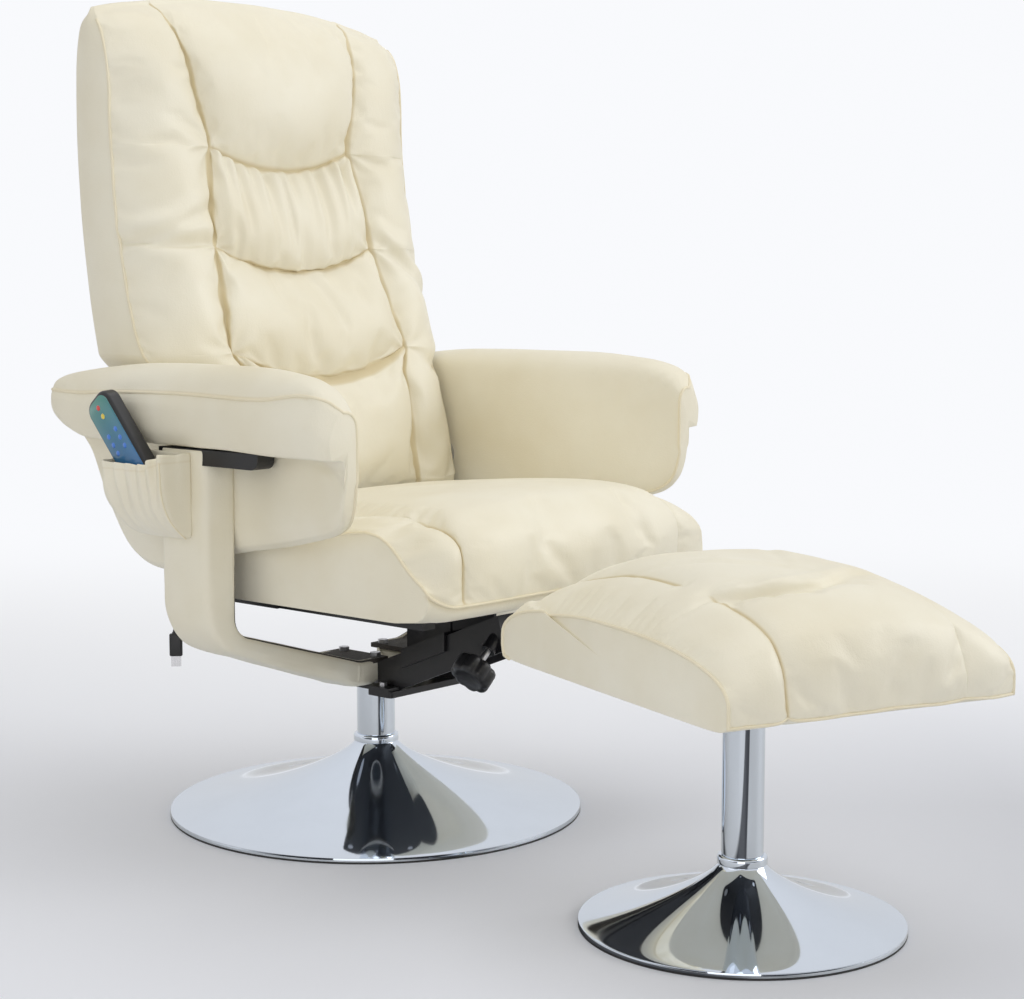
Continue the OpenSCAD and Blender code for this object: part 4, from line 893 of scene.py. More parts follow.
def make_seat():
    u, s, welt = upholstery(), SEAT, SEAT_COUNTS[0]
    side = stepped((SEAT_SIDE_TOP, SEAT_SIDE_LOW), SEAT_COUNTS)
    rings = []
    for place, _ in across(s.seam, 12, 52):
        t, near_side = abs(place), place < 0
        front = -s.front + s.bow * (1 - (1 - t**4) ** 0.25) * (1 if near_side else 0.3)
        top = s.top - s.tilt / 2 - s.drop * t**3.5
        powers = (9, 3.4 - 1.2 * t**5, 12, 9)
        waist = s.low + (s.top - s.low) * 0.42
        ring = section(front, s.rear, s.low, waist, top, powers, s.tilt, s.low + 0.022, SEAT_COUNTS)
        rolled = clamp((t - 0.84) / 0.16) ** 2 * (1 if near_side else 0.15)
        rings.append([(place * s.half, *p) for p in ring * (1 - rolled) + side * rolled])
    rings = np.array(rings)
    depth, marks = np.zeros(rings.shape[:2]), np.zeros(rings.shape[:2])
    for j in range(rings.shape[0]):
        for i in range(welt):
            x, y, z = rings[j, i]
            if z <= s.low + 0.02:
                continue
            beside_seam = abs(abs(x) - s.seam * s.half)
            # Painted shade: the seam's line is marked darker on the near side, a quarter as strong on the far side (x >
            # 0)
            share = soft_step((-0.255 - y) / 0.03) * (1 if x < 0 else 0.25)
            depth[j, i] -= 0.008 * share * math.exp(-(beside_seam / 0.010) ** 0.9)
            marks[j, i] = share * bell(beside_seam, 0.0024)
            depth[j, i] -= 0.0026 * bell(y + 0.262, 0.006) * bell(beside_seam - 0.004, 0.02) * (1 if x < 0 else 0.3)
            depth[j, i] += u.fold * 0.7 * ripple((x, y * 0.8 + x * 0.4, 0), 13, 21) * min(1, (1 - abs(x) / s.half) * 6)
    # Painted shade with the seam line: the welt's row is darkened where the cover turns under
    marks[:, welt] = 0.6
    rings = pushed(rings, depth)
    x, y, z = (rings[:, :, k] for k in range(3))
    far_end = np.clip((x - 0.16) / 0.088, 0, 1) ** 2 * np.clip((-0.272 - y) / 0.03, 0, 1)
    rings[:, :, 0] = x + 0.013 * far_end * np.clip(1 - ((z - 0.368) / 0.062) ** 2, 0, 1)
    full, marks, held = boxed(open_underside(rings, s.low, welt), marks, welt, 0.004, s.seam * s.half)
    full = upholster(full, marks, "seat_upholstery", "seat", "seat_cushion", held, u.rise * 0.55)
    first, last = END_RINGS, full.shape[0] - END_RINGS - 1
    sides = full[first, 4:welt], full[first:last + 1, welt], full[last, 4:welt][::-1]
    piping("seat_piping", np.concatenate(sides), "seat")


def make_stool():
    u, s, welt = upholstery(), STOOL, STOOL_COUNTS[0]
    rings = []
    for place, _ in across(s.seam, 16, 44):
        t, side_top = abs(place), s.low + s.side
        top = side_top + (s.top - side_top) * (1 - t**2.6)
        reach = s.length + s.bulge * (1 - t**8)
        waist = s.low + (top - s.low) * 0.35
        ring = section(-reach, reach, s.low, waist, top, (2.35, 2.35, 12, 12), 0, s.low + 0.008, STOOL_COUNTS)
        rings.append([(place * s.half, *p) for p in ring])
    rings = np.array(rings)
    count = rings.shape[1]
    depth, marks, pinned = (np.zeros(rings.shape[:2]) for _ in range(3))
    for j in range(rings.shape[0]):
        for i in range(welt + 1):
            x, y, z = rings[j, i]
            upper = z > 0.34
            beside_seam = abs(abs(x) - s.seam * s.half)
            gap = abs(y + 0.067) - 0.017
            share = soft_step(gap / 0.022) * (1 if x < 0 or gap < 0.03 and y > -0.067 else 0.2)
            depth[j, i] -= 0.0065 * share * math.exp(-(beside_seam / 0.009) ** 0.9)
            middle = clamp((x + 0.115) / 0.03) * clamp((0.07 - x) / 0.04) * upper
            bend = y + 0.137 - 4.6 * (x + 0.025) ** 2
            depth[j, i] += crease(bend, 0.0075, 0.0055, middle)
            # Painted shade: the seam line, marked darker on the near side than on the far side, and a darker line in
            # the fold across the top
            marks[j, i] = max(share * bell(beside_seam, 0.0024), 0.35 * middle * bell(bend, 0.002))
            pinned[j, i] = middle > 0.5 and abs(bend) < 0.0035
            for a, b, turn in ((-0.055, -0.02, -0.75), (0.03, -0.01, 0.5)):
                depth[j, i] += crease((x - a) - turn * (y - b), 0.002, 0.006, bell(y - b, 0.07) * upper)
            depth[j, i] -= 0.0035 * bell(gap - 0.004, 0.006) * bell(beside_seam, 0.012) * upper
            depth[j, i] += u.fold * 0.7 * ripple((x * 1.4, y, 0), 15, 31) * min(1, (1 - abs(x) / s.half) * 6)
            depth[j, i] -= 0.007 * clamp((y - 0.04) / 0.1) * upper
    rings = open_underside(pushed(rings, depth), s.low, welt)
    full, marks, held = boxed(rings, marks, welt, 0.003, pinned=pinned)
    full = upholster(full, marks, "footstool_upholstery", "footstool", "stool_cushion", held, u.rise * 0.35,
        move=STOOL_PLACE)
    first, last = END_RINGS, full.shape[0] - END_RINGS - 1
    for side, row in (("left", first), ("right", last)):
        piping(f"footstool_piping_{side}", np.concatenate([full[row, -3:], full[row, :welt + 1]]), "footstool")
    for end, column in (("rear", count - 2), ("front", welt)):
        piping(f"footstool_hem_{end}", full[first:last + 1, column], "footstool", radius=0.0016)


# Arms

ARM = Sizes(gap=0.500, width=0.100, top=0.598, lip=0.499, front=0.272, rear=0.262, pad=0.034, drop=0.162)
ARM_CROWN = Table((0, 0.54), (0.01, 0.62), (0.03, 0.74), (0.06, 0.83), (0.12, 0.91), (0.3, 0.975), (0.5, 0.985),
    (0.62, 0.975), (0.72, 0.95), (0.8, 0.915), (0.88, 0.86), (0.95, 0.79), (1, 0.68))
ARM_SEAM = Table((0, 0.94), (0.03, 0.91), (0.07, 0.86), (0.12, 0.78), (0.2, 0.69), (0.3, 0.66), (1, 0.66))
ARM_SEAM_IN = Table((0, 0.28), (0.03, 0.18), (0.07, 0.1), (0.12, 0.055), (0.2, 0.035), (1, 0.035))
ARM_DROP = Table((0, 0.2), (0.005, 0.3), (0.012, 0.39), (0.03, 0.48), (0.06, 0.54), (0.13, 0.6), (0.27, 0.7),
    (0.42, 0.79), (0.58, 0.89), (0.64, 0.99), (0.69, 1), (0.74, 0.98), (0.785, 0.91), (0.82, 0.77), (0.85, 0.6),
    (0.88, 0.42), (0.91, 0.16), (0.95, 0), (1, -0.25))
ARM_RISE = Table((0, 0), (0.83, 0), (0.9, 0.1), (0.95, 0.22), (1, 0.42))
ARM_SIDE = Table((0, 0.5), (0.06, 0.42), (0.15, 0.3), (0.25, 0.17), (0.38, 0), (0.62, 0), (1, 0.1))
ARM_IN = Table((0, 0.47), (0.02, 0.43), (0.06, 0.36), (0.15, 0.22), (0.3, 0.07), (0.45, 0), (0.75, 0), (0.85, 0.13),
    (0.93, 0.28), (1, 0.47))
ARM_OUT = Table((0, 0.12), (0.01, 0.05), (0.03, 0), (0.15, 0), (0.5, 0.17), (0.88, 0.18), (0.97, 0.25), (1, 0.38))
ARM_ROWS = 58
ARM_EACH = 5
ARM_SEAM_SPOT = 9 * ARM_EACH


def arm_controls(t):
    """The corners of the arm's section at a share of its length from the front, and whether the line breaks there"""
    a = ARM
    inner = a.gap / 2 + a.width * ARM_IN(t)
    outer = a.gap / 2 + a.width * (1 - ARM_OUT(t))
    side = min(outer - a.pad * 0.1, a.gap / 2 + a.pad + (a.width - a.pad) * ARM_SIDE(t))
    top = a.lip + (a.top - a.lip) * ARM_CROWN(t)
    lip = a.lip + (a.top - a.lip) * ARM_RISE(t)
    low = min(a.lip - a.drop * ARM_DROP(t), lip - a.pad * 0.1)
    h, w, deep = top - lip, outer - inner, lip - low
    seam, seam_in = ARM_SEAM(t), ARM_SEAM_IN(t)
    return [
        (inner + w * 0.04, low + deep * 0.05, 1), (inner, low + deep * 0.2, 0), (inner, low + deep * 0.6, 0),
        (inner, lip, 0), (inner, lip + h * 0.45, 0), (inner + w * 0.05, lip + h * 0.8, 0),
        (inner + w * 0.24, lip + h * 0.97, 0), (inner + w * 0.5, top, 0),
        (inner + w * (0.8 - 0.7 * seam_in), lip + h * (0.66 + 0.36 * seam), 0), (outer - w * seam_in, lip + h * seam, 2),
        (outer, lip + h * 0.5, 0), (outer, lip + h * 0.2, 0), (outer - w * 0.05, lip + h * 0.02, 1),
        (side, lip, 1), (side, lip - deep * 0.3, 0), (side, low + deep * 0.25, 0),
        (side - w * 0.06, low + deep * 0.06, 1), ((inner + side) / 2, low, 0),
    ]


def make_arm(side, name):
    """Side is -1 for the arm at +X and 1 for its mirror image"""
    a, fold = ARM, upholstery().fold
    rings = []
    for k in range(ARM_ROWS + 1):
        t = (1 - math.cos(math.pi * k / ARM_ROWS)) / 2
        rings.append([(x, -a.front + (a.front + a.rear) * t, z) for x, z in through(arm_controls(t), ARM_EACH)])
    rings = np.array(rings)
    depth, marks = np.zeros(rings.shape[:2]), np.zeros(rings.shape[:2])
    for j in range(rings.shape[0]):
        for i in range(rings.shape[1]):
            x, y, z = rings[j, i]
            off = abs(i - ARM_SEAM_SPOT)
            end = min(1, (y + a.front) / 0.03, (a.rear - y) / 0.03)
            if off < 5 and end > 0 and j > 8:
                depth[j, i] -= 0.002 * bell(off, 1.4) * end
                # Painted shade with the seam line: the mark darkens the leather down in the top seam
                marks[j, i] = 0.75 * bell(off, 0.7)
            depth[j, i] += fold * 0.4 * ripple((x, y, z), 12, 41) * max(end, 0)
            if i < 6 * ARM_EACH and z > 0.45:
                pull = bell(y + 0.235, 0.02) * bell(z - 0.555, 0.02)
                depth[j, i] -= 0.003 * pull * math.cos((z - 0.555 + (y + 0.235)) * 300)
            band = (i / ARM_EACH - 9.6) / 2.4
            if 0 < band < 1:
                depth[j, i] += 0.0016 * math.sin(math.pi * band) * end
            if 13 * ARM_EACH <= i < 16 * ARM_EACH and y < -0.13:
                for tilt, low in ((0.1, 0.490), (0.55, 0.482)):
                    depth[j, i] += crease(z - low - tilt * (y + 0.25), 0.004, 0.0045, bell(y + 0.245, 0.03))
    rings = pushed(rings, depth)
    ends = []
    for ring, t, puff in ((rings[0], 0, -0.003), (rings[-1], 1, 0.004)):
        corners = arm_controls(t)
        inner, outer, lip, top = corners[3][0], corners[11][0], corners[3][1], corners[7][1]
        centre = (inner + (outer - inner) * 0.4, ring[0, 1], (top + lip) / 2 if t else lip + 0.012)
        ends.append(closing(ring, centre, (0, 0.25, 0.55, 0.8, 0.94), (0, puff, 0)))
    full, marks = capped(ends[0], rings, ends[1], marks)
    full = upholster(mirrored(full, side), marks, name + "_upholstery", "carriage", name)
    first, last, over, seam = END_RINGS, full.shape[0] - END_RINGS - 1, 8, ARM_SEAM_SPOT
    top_seam = full[first + over:last - 2, seam]
    turn = np.array([full[first + over - k, seam - round(10 * k / over)] for k in range(1, over)])
    front, foot = full[first, :seam - 9][::-1], full[first + 1:last - 6, 0]
    piping(name + "_piping", np.concatenate([top_seam[::-1], turn, front, foot]), "carriage")


# Supports

SUPPORT = Sizes(inner=0.285, outer=0.328, top=0.4975, plate=0.1773, foot=0.035, front=-0.050, rear=0.036, core=0.006,
    slope=0.30, taper=0.045)


def make_support(side, name):
    """Sleeve round the bent bar, from the hub out and up to the arm, open to the bar along its inner side"""
    s = SUPPORT
    z, x, hub, bend = s.plate + s.foot - s.core, s.inner + s.core, 0.027, 0.077
    inner = rounded_line([(hub, z, 0), (bend, z, 0.040), (x, z + (x - bend) * s.slope, 0.031), (x, s.top, 0)])
    outer = rounded_line([(hub, s.plate, 0), (bend, s.plate, 0.040),
        (s.outer, s.plate + (s.outer - bend) * (s.slope + s.taper), 0.075), (s.outer, s.top, 0)])
    # Where the straights meet the two bends, and the rows along each stretch
    joins, counts = (0, 1, 9, 10, 18, 19), (4, 8, 16, 10, 20)
    lines = [np.concatenate([stepped([line[a:b + 1] for a, b in zip(joins, joins[1:])], counts), line[-1:]])
        for line in (inner, outer)]
    front, rear, hem = s.front, s.rear, s.core + 0.0006
    rings = []
    for k, (p, q) in enumerate(zip(*lines)):
        thick = np.linalg.norm(q - p)
        way = (q - p) / thick
        r = min(0.013, thick * 0.4)
        tuck = 0.0008 * ripple((k * 0.9, 0, 0), 1, 50)
        over = 0.0012 * way[0] ** 4
        path = [(-hem, front + 0.008), (-hem - over - 0.0004 + tuck, front + 0.002),
            (-hem + 0.003 - 3.4 * over, front - 0.0012 - 0.4 * over), (0.006 - 2 * over, front - 0.0016 - 0.6 * over),
            (thick * 0.5, front - 0.0012)]
        path += arc(thick - r, front + r, r, -90)
        path += [(thick + 0.0012, front + (rear - front) * g) for g in (0.28, 0.4, 0.5, 0.6, 0.72)]
        path += arc(thick - r, rear - r, r, 0)
        path += [(thick * 0.5, rear + 0.0012), (0.006, rear + 0.0016), (-hem + 0.003, rear + 0.0012),
            (-hem - 0.0004 + tuck, rear - 0.002), (-hem, rear - 0.008),
            (-0.002, rear - 0.009), (-0.002, (front + rear) / 2), (-0.002, front + 0.009)]
        ring = []
        for i, (d, y) in enumerate(path):
            at, wave = p + way * d, 0
            if 2 < i < 20:
                wave = 0.0012 * ripple((at[0], y, at[1]), 24, 51) + 0.0009 * ripple((k * 0.3, y * 8, 0), 1.6, 52)
            if i > 4:
                at = at + way * wave
            ring.append((at[0], y + (wave if i < 6 else 0), at[1]))
        rings.append(ring)
    rings, marks = np.array(rings), np.zeros((len(rings), len(path)))
    marks[:, [1, 2, 22, 23]] = 0.35
    for j, share in enumerate((0.74, 0.9, 0.97)):
        middle = rings[j].mean(axis=0)
        rings[j] = middle + (rings[j] - middle) * [1, share, share]
    head = closing(rings[0], rings[0].mean(axis=0), (0, 0.45, 0.75, 0.93), (-0.010, 0, 0))
    tail = closing(rings[-1], rings[-1].mean(axis=0), (0, 0.4, 0.8, 0.95))
    full, marks = capped(head, rings, tail, marks)
    upholster(mirrored(full, side), marks, name + "_pad", "carriage", name + "_cover")


# Pocket and handset

POCKET = Sizes(face=0.328, depth=0.047, front=-0.027, rear=0.093, top=0.494, height=0.102, slope=0.75, wall=0.003,
    fold=0.0062, gathers=11)
POCKET_SIDES = (14, 56, 16, 24)
POCKET_ROWS = 24


def pocket_ring(z, inset, share):
    """One closed line round the pocket, at a share of its height from the mouth, set in by a part of its wall"""
    p = POCKET
    low, turn = p.top - p.height, p.front + (p.rear - p.front) * p.slope
    rear_line = Table((low - 0.001, turn - 0.006), (low + 0.008, turn + 0.012), (low + 0.026, p.rear - 0.006),
        (low + 0.045, p.rear), (p.top + 0.01, p.rear))
    front, rear = p.front + inset + 0.02 * max(0, share - 0.9), rear_line(z) - inset
    deep = p.depth * (1 - 0.8 * share**4) - inset
    r = min(0.013, deep * 0.45, (rear - front) * 0.4)
    line = rounded_line([(inset, front, 0.002), (deep, front, r * 0.5), (deep, rear, r), (inset, rear, 0.002)],
        steps=6, closed=True)
    line = stepped((line[3:11], line[10:18], line[17:25], np.concatenate([line[24:], line[:4]])), POCKET_SIDES)
    fold = p.fold * math.exp(-share / 0.42)
    out = []
    for k, (x, y) in enumerate(line):
        outward = clamp((x - 0.006) / 0.02) if deep > 0.02 else 0.4
        gather = math.sin(k / len(line) * 2 * math.pi * p.gathers + 3.0 * ripple((k * 0.09, 0, 0), 1, 61))
        swell = 0.004 * ripple((x * 2, y * 1.2 + z * 0.5, z), 20, 62) * (1 - inset / 0.004)
        push = outward * (fold * gather * (0.7 + 0.8 * ripple((y, 0, 0), 30, 63)) + swell)
        sag = 0.013 * outward * soft_step((y - front) / (rear - front) / 0.32) * max(0, 1 - share / 0.6)
        hem = outward * 0.0012 * gather * (share < 0.05)
        out.append((-(p.face + x + push), y + 0.3 * push * (1 if y > 0.03 else -1), z - sag + hem))
    return out


def make_pocket():
    """Bag that is wide at its gathered mouth and narrows downward"""
    p = POCKET
    shares = [k / POCKET_ROWS for k in range(POCKET_ROWS, -1, -1)]
    rings = [pocket_ring(p.top - 0.001 - (p.height - 0.002) * share, 0, share) for share in shares]
    rings.append(pocket_ring(p.top + 0.0008, p.wall / 2, 0))
    rings += [pocket_ring(p.top - z - 0.001, p.wall, z / p.height) for z in (0.0, 0.012, 0.025, 0.04, 0.052)]
    rings, marks = np.array(rings), np.zeros((len(rings), sum(POCKET_SIDES)))
    marks[POCKET_ROWS - 2] = 0.4
    head = closing(rings[0], rings[0].mean(axis=0), (0, 0.4, 0.8), (0, 0, -0.001))
    tail = closing(rings[-1], rings[-1].mean(axis=0), (0, 0.4, 0.8))
    full, marks = capped(head, rings, tail, marks)
    upholster(full, marks, "handset_pocket_bag", "carriage", "handset_pocket")
    piping("pocket_seam", rings[:POCKET_ROWS - 1, POCKET_SIDES[0]], "carriage", radius=0.0011)


HANDSET = Sizes(long=0.145, wide=0.050, thick=0.020, corner=0.016, face=0.0025, inset=0.003, button=0.0035)
HANDSET_PLACE = (Matrix.Translation((-0.352, 0.0532, 0.488)) @ Matrix.Rotation(math.radians(-6), 4, "Y")
    @ Matrix.Rotation(math.radians(-37), 4, "X") @ Matrix.Translation((0, 0, -0.059)))
BUTTONS = [("power_button", 0, 0.130, "red_button"), ("heat_button", 0, 0.118, "yellow_button")]
BUTTONS += [(f"mode_buttons_{side}_{k + 1}", y, z, "blue_button")
    for side, y in (("left", -0.009), ("right", 0.009)) for k, z in enumerate((0.094, 0.082, 0.070))]


def make_handset():
    h = HANDSET
    body = slab((h.thick - 0.0006, h.wide, h.long), h.corner, 0.0045, 0, 10, 5)
    bmesh.ops.translate(body, vec=(0.0003, 0, h.long / 2), verts=body.verts)
    settle(body, "handset_shell", "black_plastic", "handset", "handset_case", 35, HANDSET_PLACE)
    rim = 2 * h.inset + 0.002
    face = slab((h.face, h.wide - rim, h.long - rim), h.corner - h.inset, 0.0008, 0, 10, 2)
    long_edges = [e for e in face.edges if abs(e.verts[0].co.z - e.verts[1].co.z) > 0.05]
    bmesh.ops.subdivide_edges(face, edges=long_edges, cuts=8)
    along = face.verts.layers.float.new("seam")
    for v in face.verts:
        v[along] = v.co.z / h.long + 0.5
    bmesh.ops.translate(face, vec=((h.face - h.thick) / 2 - 0.0003, 0, h.long / 2), verts=face.verts)
    settle(face, "handset_front", "handset_face", "handset", "handset_face", 35, HANDSET_PLACE)


def make_buttons():
    r, deep = HANDSET.button, 0.004
    dome = [(0, 0.0012), (r * 0.5, 0.0011), (r * 0.8, 0.0008), (r * 0.97, 0.0003), (r, -0.0003), (r, -deep), (0, -deep)]
    for name, y, z, colour in BUTTONS:
        spot = Matrix.Translation((-HANDSET.thick / 2, y, z)) @ Matrix.Rotation(math.radians(-90), 4, "Y")
        settle(spun(dome, 28), name + "_cap", colour, name, name, 50, HANDSET_PLACE @ spot)


# Lead

LEAD_TOP = (-0.267, 0.076, 0.325938)
LEAD_RADIUS = 0.0025
# Steps of the lead's route from its top, in millimetres
LEAD_ROUTE = [(0, 0, 0), (0, 0, -7), (0, 1, -15), (-1, 2, -23), (-2, 3, -31), (-3, 3, -39), (-3, 3, -47), (-3, 3, -53),
    (-3, 3, -59)]
LEAD_RELIEF = [(0, 0.0005), (0.0027, 0), (0.0032, -0.002), (0.0029, -0.003), (0.0037, -0.004), (0.0034, -0.005),
    (0.0046, -0.0065), (0.005, -0.009), (0, -0.009)]
LEAD_GLAND = [(0, 0.012), (0.005, 0.012), (0.005, 0.0), (0.0046, -0.003), (0.0042, -0.003), (0.0042, -0.005),
    (0.0038, -0.0055), (0.0038, -0.0075), (0.0034, -0.008), (0.0031, -0.012), (0, -0.0125)]


def make_lead():
    path = [tuple(a + b / 1000 for a, b in zip(LEAD_TOP, p)) for p in LEAD_ROUTE]
    fine = evenly(path, 24)
    rings = tube_rings(fine, LEAD_RADIUS, 12)
    lead = settle(lofted(rings), "hanging_lead", "lead_rubber", "carriage", "power_lead", 80)
    end = Matrix.Translation(path[-1]) @ Matrix.Rotation(math.radians(-45), 4, "Z")
    body = slab((0.016, 0.009, 0.028), 0.003, 0.0015, 2, 5, 3)
    bmesh.ops.translate(body, vec=(0, 0, -0.022), verts=body.verts)
    plug = settle(body, "lead_plug_body", "black_plastic", "carriage", "lead_plug", 35, end)
    sleeve = settle(spun(LEAD_RELIEF, 24), "lead_plug_sleeve", "black_plastic", "carriage", None, 50, end)
    settle(spun(LEAD_GLAND, 28), "lead_sleeve", "black_plastic", "carriage", "lead_gland", 35,
        Matrix.Translation(LEAD_TOP))
    length = float(np.linalg.norm(np.diff(np.array(path), axis=0), axis=1).sum())


# Chromed bases, columns and the knob

CHAIR_BASE = Sizes(r=0.270, column=0.025, neck=0.091, top=0.167)
STOOL_BASE = Sizes(r=0.178, column=0.023, neck=0.070, top=0.271)
BASE_RIM, BASE_EDGE = 0.0025, 0.007
COLUMN_WALL = 0.004
NECK_GAP = 0.003


def base_profile(r, neck_r, neck_h, shell=0.0015):
    """Trumpet shell, closed along its inner side"""
    outer = [(r, BASE_RIM), (r, BASE_EDGE - 0.0012), (r - 0.0004, BASE_EDGE - 0.0004)]
    for k in range(1, 49):
        q = squircle(90 * k / 48, 0.75)
        outer.append((neck_r + (r - neck_r) * q[0], BASE_EDGE + (neck_h - BASE_EDGE) * q[1]))
    inner = [(max(x - shell, neck_r - shell), z - shell) for x, z in outer[3:]]
    return outer + inner[::-1] + [(r - shell, BASE_RIM)]


def make_base(name, size, body, nodes, place=None):
    """Dish, column with its flange, and the ring round the column's foot"""
    r, neck, top, bore = size.column, size.neck, size.top, size.column - COLUMN_WALL
    inside, low, wide, high = neck - 0.06, 0.0085, 0.0045, 0.010

    def turned(profile, part, node, steps=96, crease=35):
        settle(spun(profile, steps, closed=True), f"{name}_{part}", "chrome", body, node, crease, place)

    turned(base_profile(size.r, r + NECK_GAP, neck), "dish", nodes[0], 160, 50)
    turned([(r, inside), (r, top - 0.001), (r - 0.001, top), (bore, top), (bore, inside)], "post", nodes[1])
    turned([(bore, low), (r + 0.020, low), (r + 0.020, low + 0.005), (r, low + 0.005), (r, inside), (bore, inside)],
        "post_foot", None)
    rounding = [(r + wide * a, neck + high * b) for a, b in ((1, 0.7), (0.9, 0.85), (0.6, 0.97), (0.3, 1), (0, 1))]
    turned([(r, neck), (r + wide - 0.0006, neck), (r + wide, neck + 0.0006)] + rounding, "ring", nodes[2])


KNOB_PLACE = Matrix.Translation((-0.050, -0.253, 0.2573)) @ Matrix.Rotation(math.radians(-131), 4, "Y")
KNOB = Sizes(r=0.0265, start=0.036, lobes=8, scallop=0.115, points=96)
# Shares of the knob's radius with heights above its start
KNOB_PROFILE = [(0.0, 0.0), (0.4, 0.0), (0.72, 0.0), (0.9, 0.0006), (0.965, 0.0022), (1.0, 0.0055), (1.0, 0.0185),
    (0.965, 0.0218), (0.9, 0.0234), (0.74, 0.024), (0.62, 0.0234), (0.5, 0.0222), (0.25, 0.0215), (0.0, 0.0213)]


def make_knob():
    """Lobed grip, turned about its rod, with a shallow dish in its outer face"""
    rings = []
    for share, z in KNOB_PROFILE:
        ring = []
        for k in range(KNOB.points):
            a = 2 * math.pi * k / KNOB.points
            cut = KNOB.scallop * (0.5 + 0.5 * math.cos(KNOB.lobes * a)) ** 2.2 * min(1, share / 0.9) ** 3
            r = KNOB.r * share * (1 - cut)
            ring.append((r * math.cos(a), r * math.sin(a), z + KNOB.start))
        rings.append(ring)
    settle(lofted(rings), "knob_grip", "black_plastic", "knob", "friction_knob", 60, KNOB_PLACE)


# Stage

# Focal length and width of the photograph in pixels
FOCAL, PHOTO_WIDTH = 2079, 1024
BACKDROP = (0.945, 0.955, 0.98)
# Name, place, what it points at, size and power of each lamp
LAMPS = (
    ("top_softbox", (0.3, -0.3, 3.4), (0, -0.1, 0.4), 2.4, 22.5),
    ("right_softbox", (2.3, -2.6, 2.0), (0, -0.2, 0.4), 2.0, 38),
    ("left_fill", (-3.2, 0.6, 1.8), (0, 0, 0.5), 1.8, 3.5),
    ("low_fill", (-2.8, -2.2, 0.9), (0, 0, 0.35), 2.0, 16),
)
LINED = ("seat_board", "stool_board", "back_panel")


def make_camera():
    data = bpy.data.cameras.new("photo_camera")
    data.sensor_width, data.lens, data.clip_end = 36, FOCAL / PHOTO_WIDTH * 36, 60
    camera = placed("photo_camera", data)
    camera.location = (-1.904, -1.916, 0.715)
    camera.rotation_euler = (math.radians(90 - 6.47), 0, math.radians(-48.63))
    bpy.context.scene.camera = camera


def make_floor():
    """Pale floor that fades into the backdrop, with painted shade that darkens it toward the right front, and painted
    reflections for the chrome alone: a darker floor and dark strips, where a room would be dark, seen only by glossy
    rays
    """
    colour = hardware().floor
    bm = bmesh.new()
    bmesh.ops.create_grid(bm, x_segments=24, y_segments=24, size=9)
    floor = placed("studio_floor", as_mesh(bm, "studio_floor"))
    f = Finish("studio_floor", colour, 0.55, Specular_IOR_Level=0.25)
    where = f.node("ShaderNodeTexCoord", out="Object")
    x, y, _ = f.parts(where)
    along, aside = 0.75 * x + 0.66 * y, 0.66 * x - 0.75 * y
    away = f.node("ShaderNodeVectorMath", {"operation": "LENGTH"}, {0: where}, out="Value")
    tint = f.blend(f.ramp(along, 0.2, 3.0), colour, (0.94, 0.945, 0.96))
    # Painted shade: the floor's colour darkens toward the right front
    shade = f.ramp(aside, 0.1, 0.85) * f.ramp(along, 0.9, 0.0) * f.ramp(away, 3.0, 1.6)
    tint = f.blend(shade, tint, tuple(c * 0.7 for c in colour))
    # Painted reflection: glossy rays see a darker, warmer floor
    mirror = f.ray("Glossy")
    tint = f.blend(mirror * 0.5, tint, (0.62, 0.60, 0.56))
    # Painted reflection: dark strips on the camera's side of the two posts, seen only by glossy rays, give the chrome
    # posts dark lines
    for post_along, post_aside, low, high in ((0, 0, 0.3, 0.62), (-0.499, 0.429, 0.08, 0.3)):
        reach, over = post_along - along, aside - post_aside
        dark_reflection_strip = f.ramp(over - low * reach, -0.02, 0.03) * f.ramp(high * reach - over, -0.02, 0.03)
        tint = f.blend(mirror * f.ramp(reach, 0.1, 0.25) * dark_reflection_strip, tint, (0.03, 0.03, 0.035))
    f.set("Base Color", tint)
    f.set("Roughness", 0.5 + 0.1 * f.noise(where, 30, 3))
    glow = f.node("ShaderNodeEmission", None, {"Color": (*BACKDROP, 1), "Strength": 1.0})
    far, rim = f.ramp(along, -0.4, 3.0, "SMOOTHERSTEP"), f.ramp(away, 2.4, 4.4)
    share = (far + rim - far * rim) * (f.ray("Camera") + mirror)
    mixed = f.node("ShaderNodeMixShader", None, {0: share, 1: Wire(f, f.shader.outputs[0]), 2: glow})
    f.feed(f.tree.nodes["Material Output"].inputs[0], mixed)
    floor.data.materials.append(f.material)


def make_world():
    """Even studio light, with a white backdrop for the camera and a dark room behind it for the chrome"""
    world = bpy.data.worlds.new("studio")
    bpy.context.scene.world = world
    world.use_nodes = True
    world.node_tree.nodes.clear()
    f = Nodes(world.node_tree)
    x, y, z = f.parts(f.node("ShaderNodeTexCoord", out="Generated"))
    room = f.ramp(-0.7 * x - 0.71 * y, 0.15, 0.62) * f.ramp(z, 0.5, 0.15)
    mirror, camera, height = f.ray("Glossy"), f.ray("Camera"), f.ramp(z, -0.1, 0.9)
    plain = f.blend(height, (0.79, 0.765, 0.69), (0.97, 0.965, 0.95))
    plain = f.blend(mirror, plain, f.blend(height, (0.80, 0.81, 0.83), (0.98, 0.98, 1.0)))
    tint = f.blend(camera, f.blend(room * mirror, plain, (0.035, 0.035, 0.04)), BACKDROP)
    power = 0.62 + 0.38 * camera + 0.25 * mirror * (1 - camera)
    light = f.node("ShaderNodeBackground", None, {0: tint, 1: power})
    f.feed(f.tree.nodes.new("ShaderNodeOutputWorld").inputs[0], light)


def make_lamps():
    for name, place, aim, size, power in LAMPS:
        data = bpy.data.lights.new(name, "AREA")
        data.shape, data.size, data.energy = "SQUARE", size, power
        lamp = placed(name, data)
        lamp.location = place
        lamp.rotation_euler = (Vector(aim) - Vector(place)).to_track_quat("-Z", "Y").to_euler()


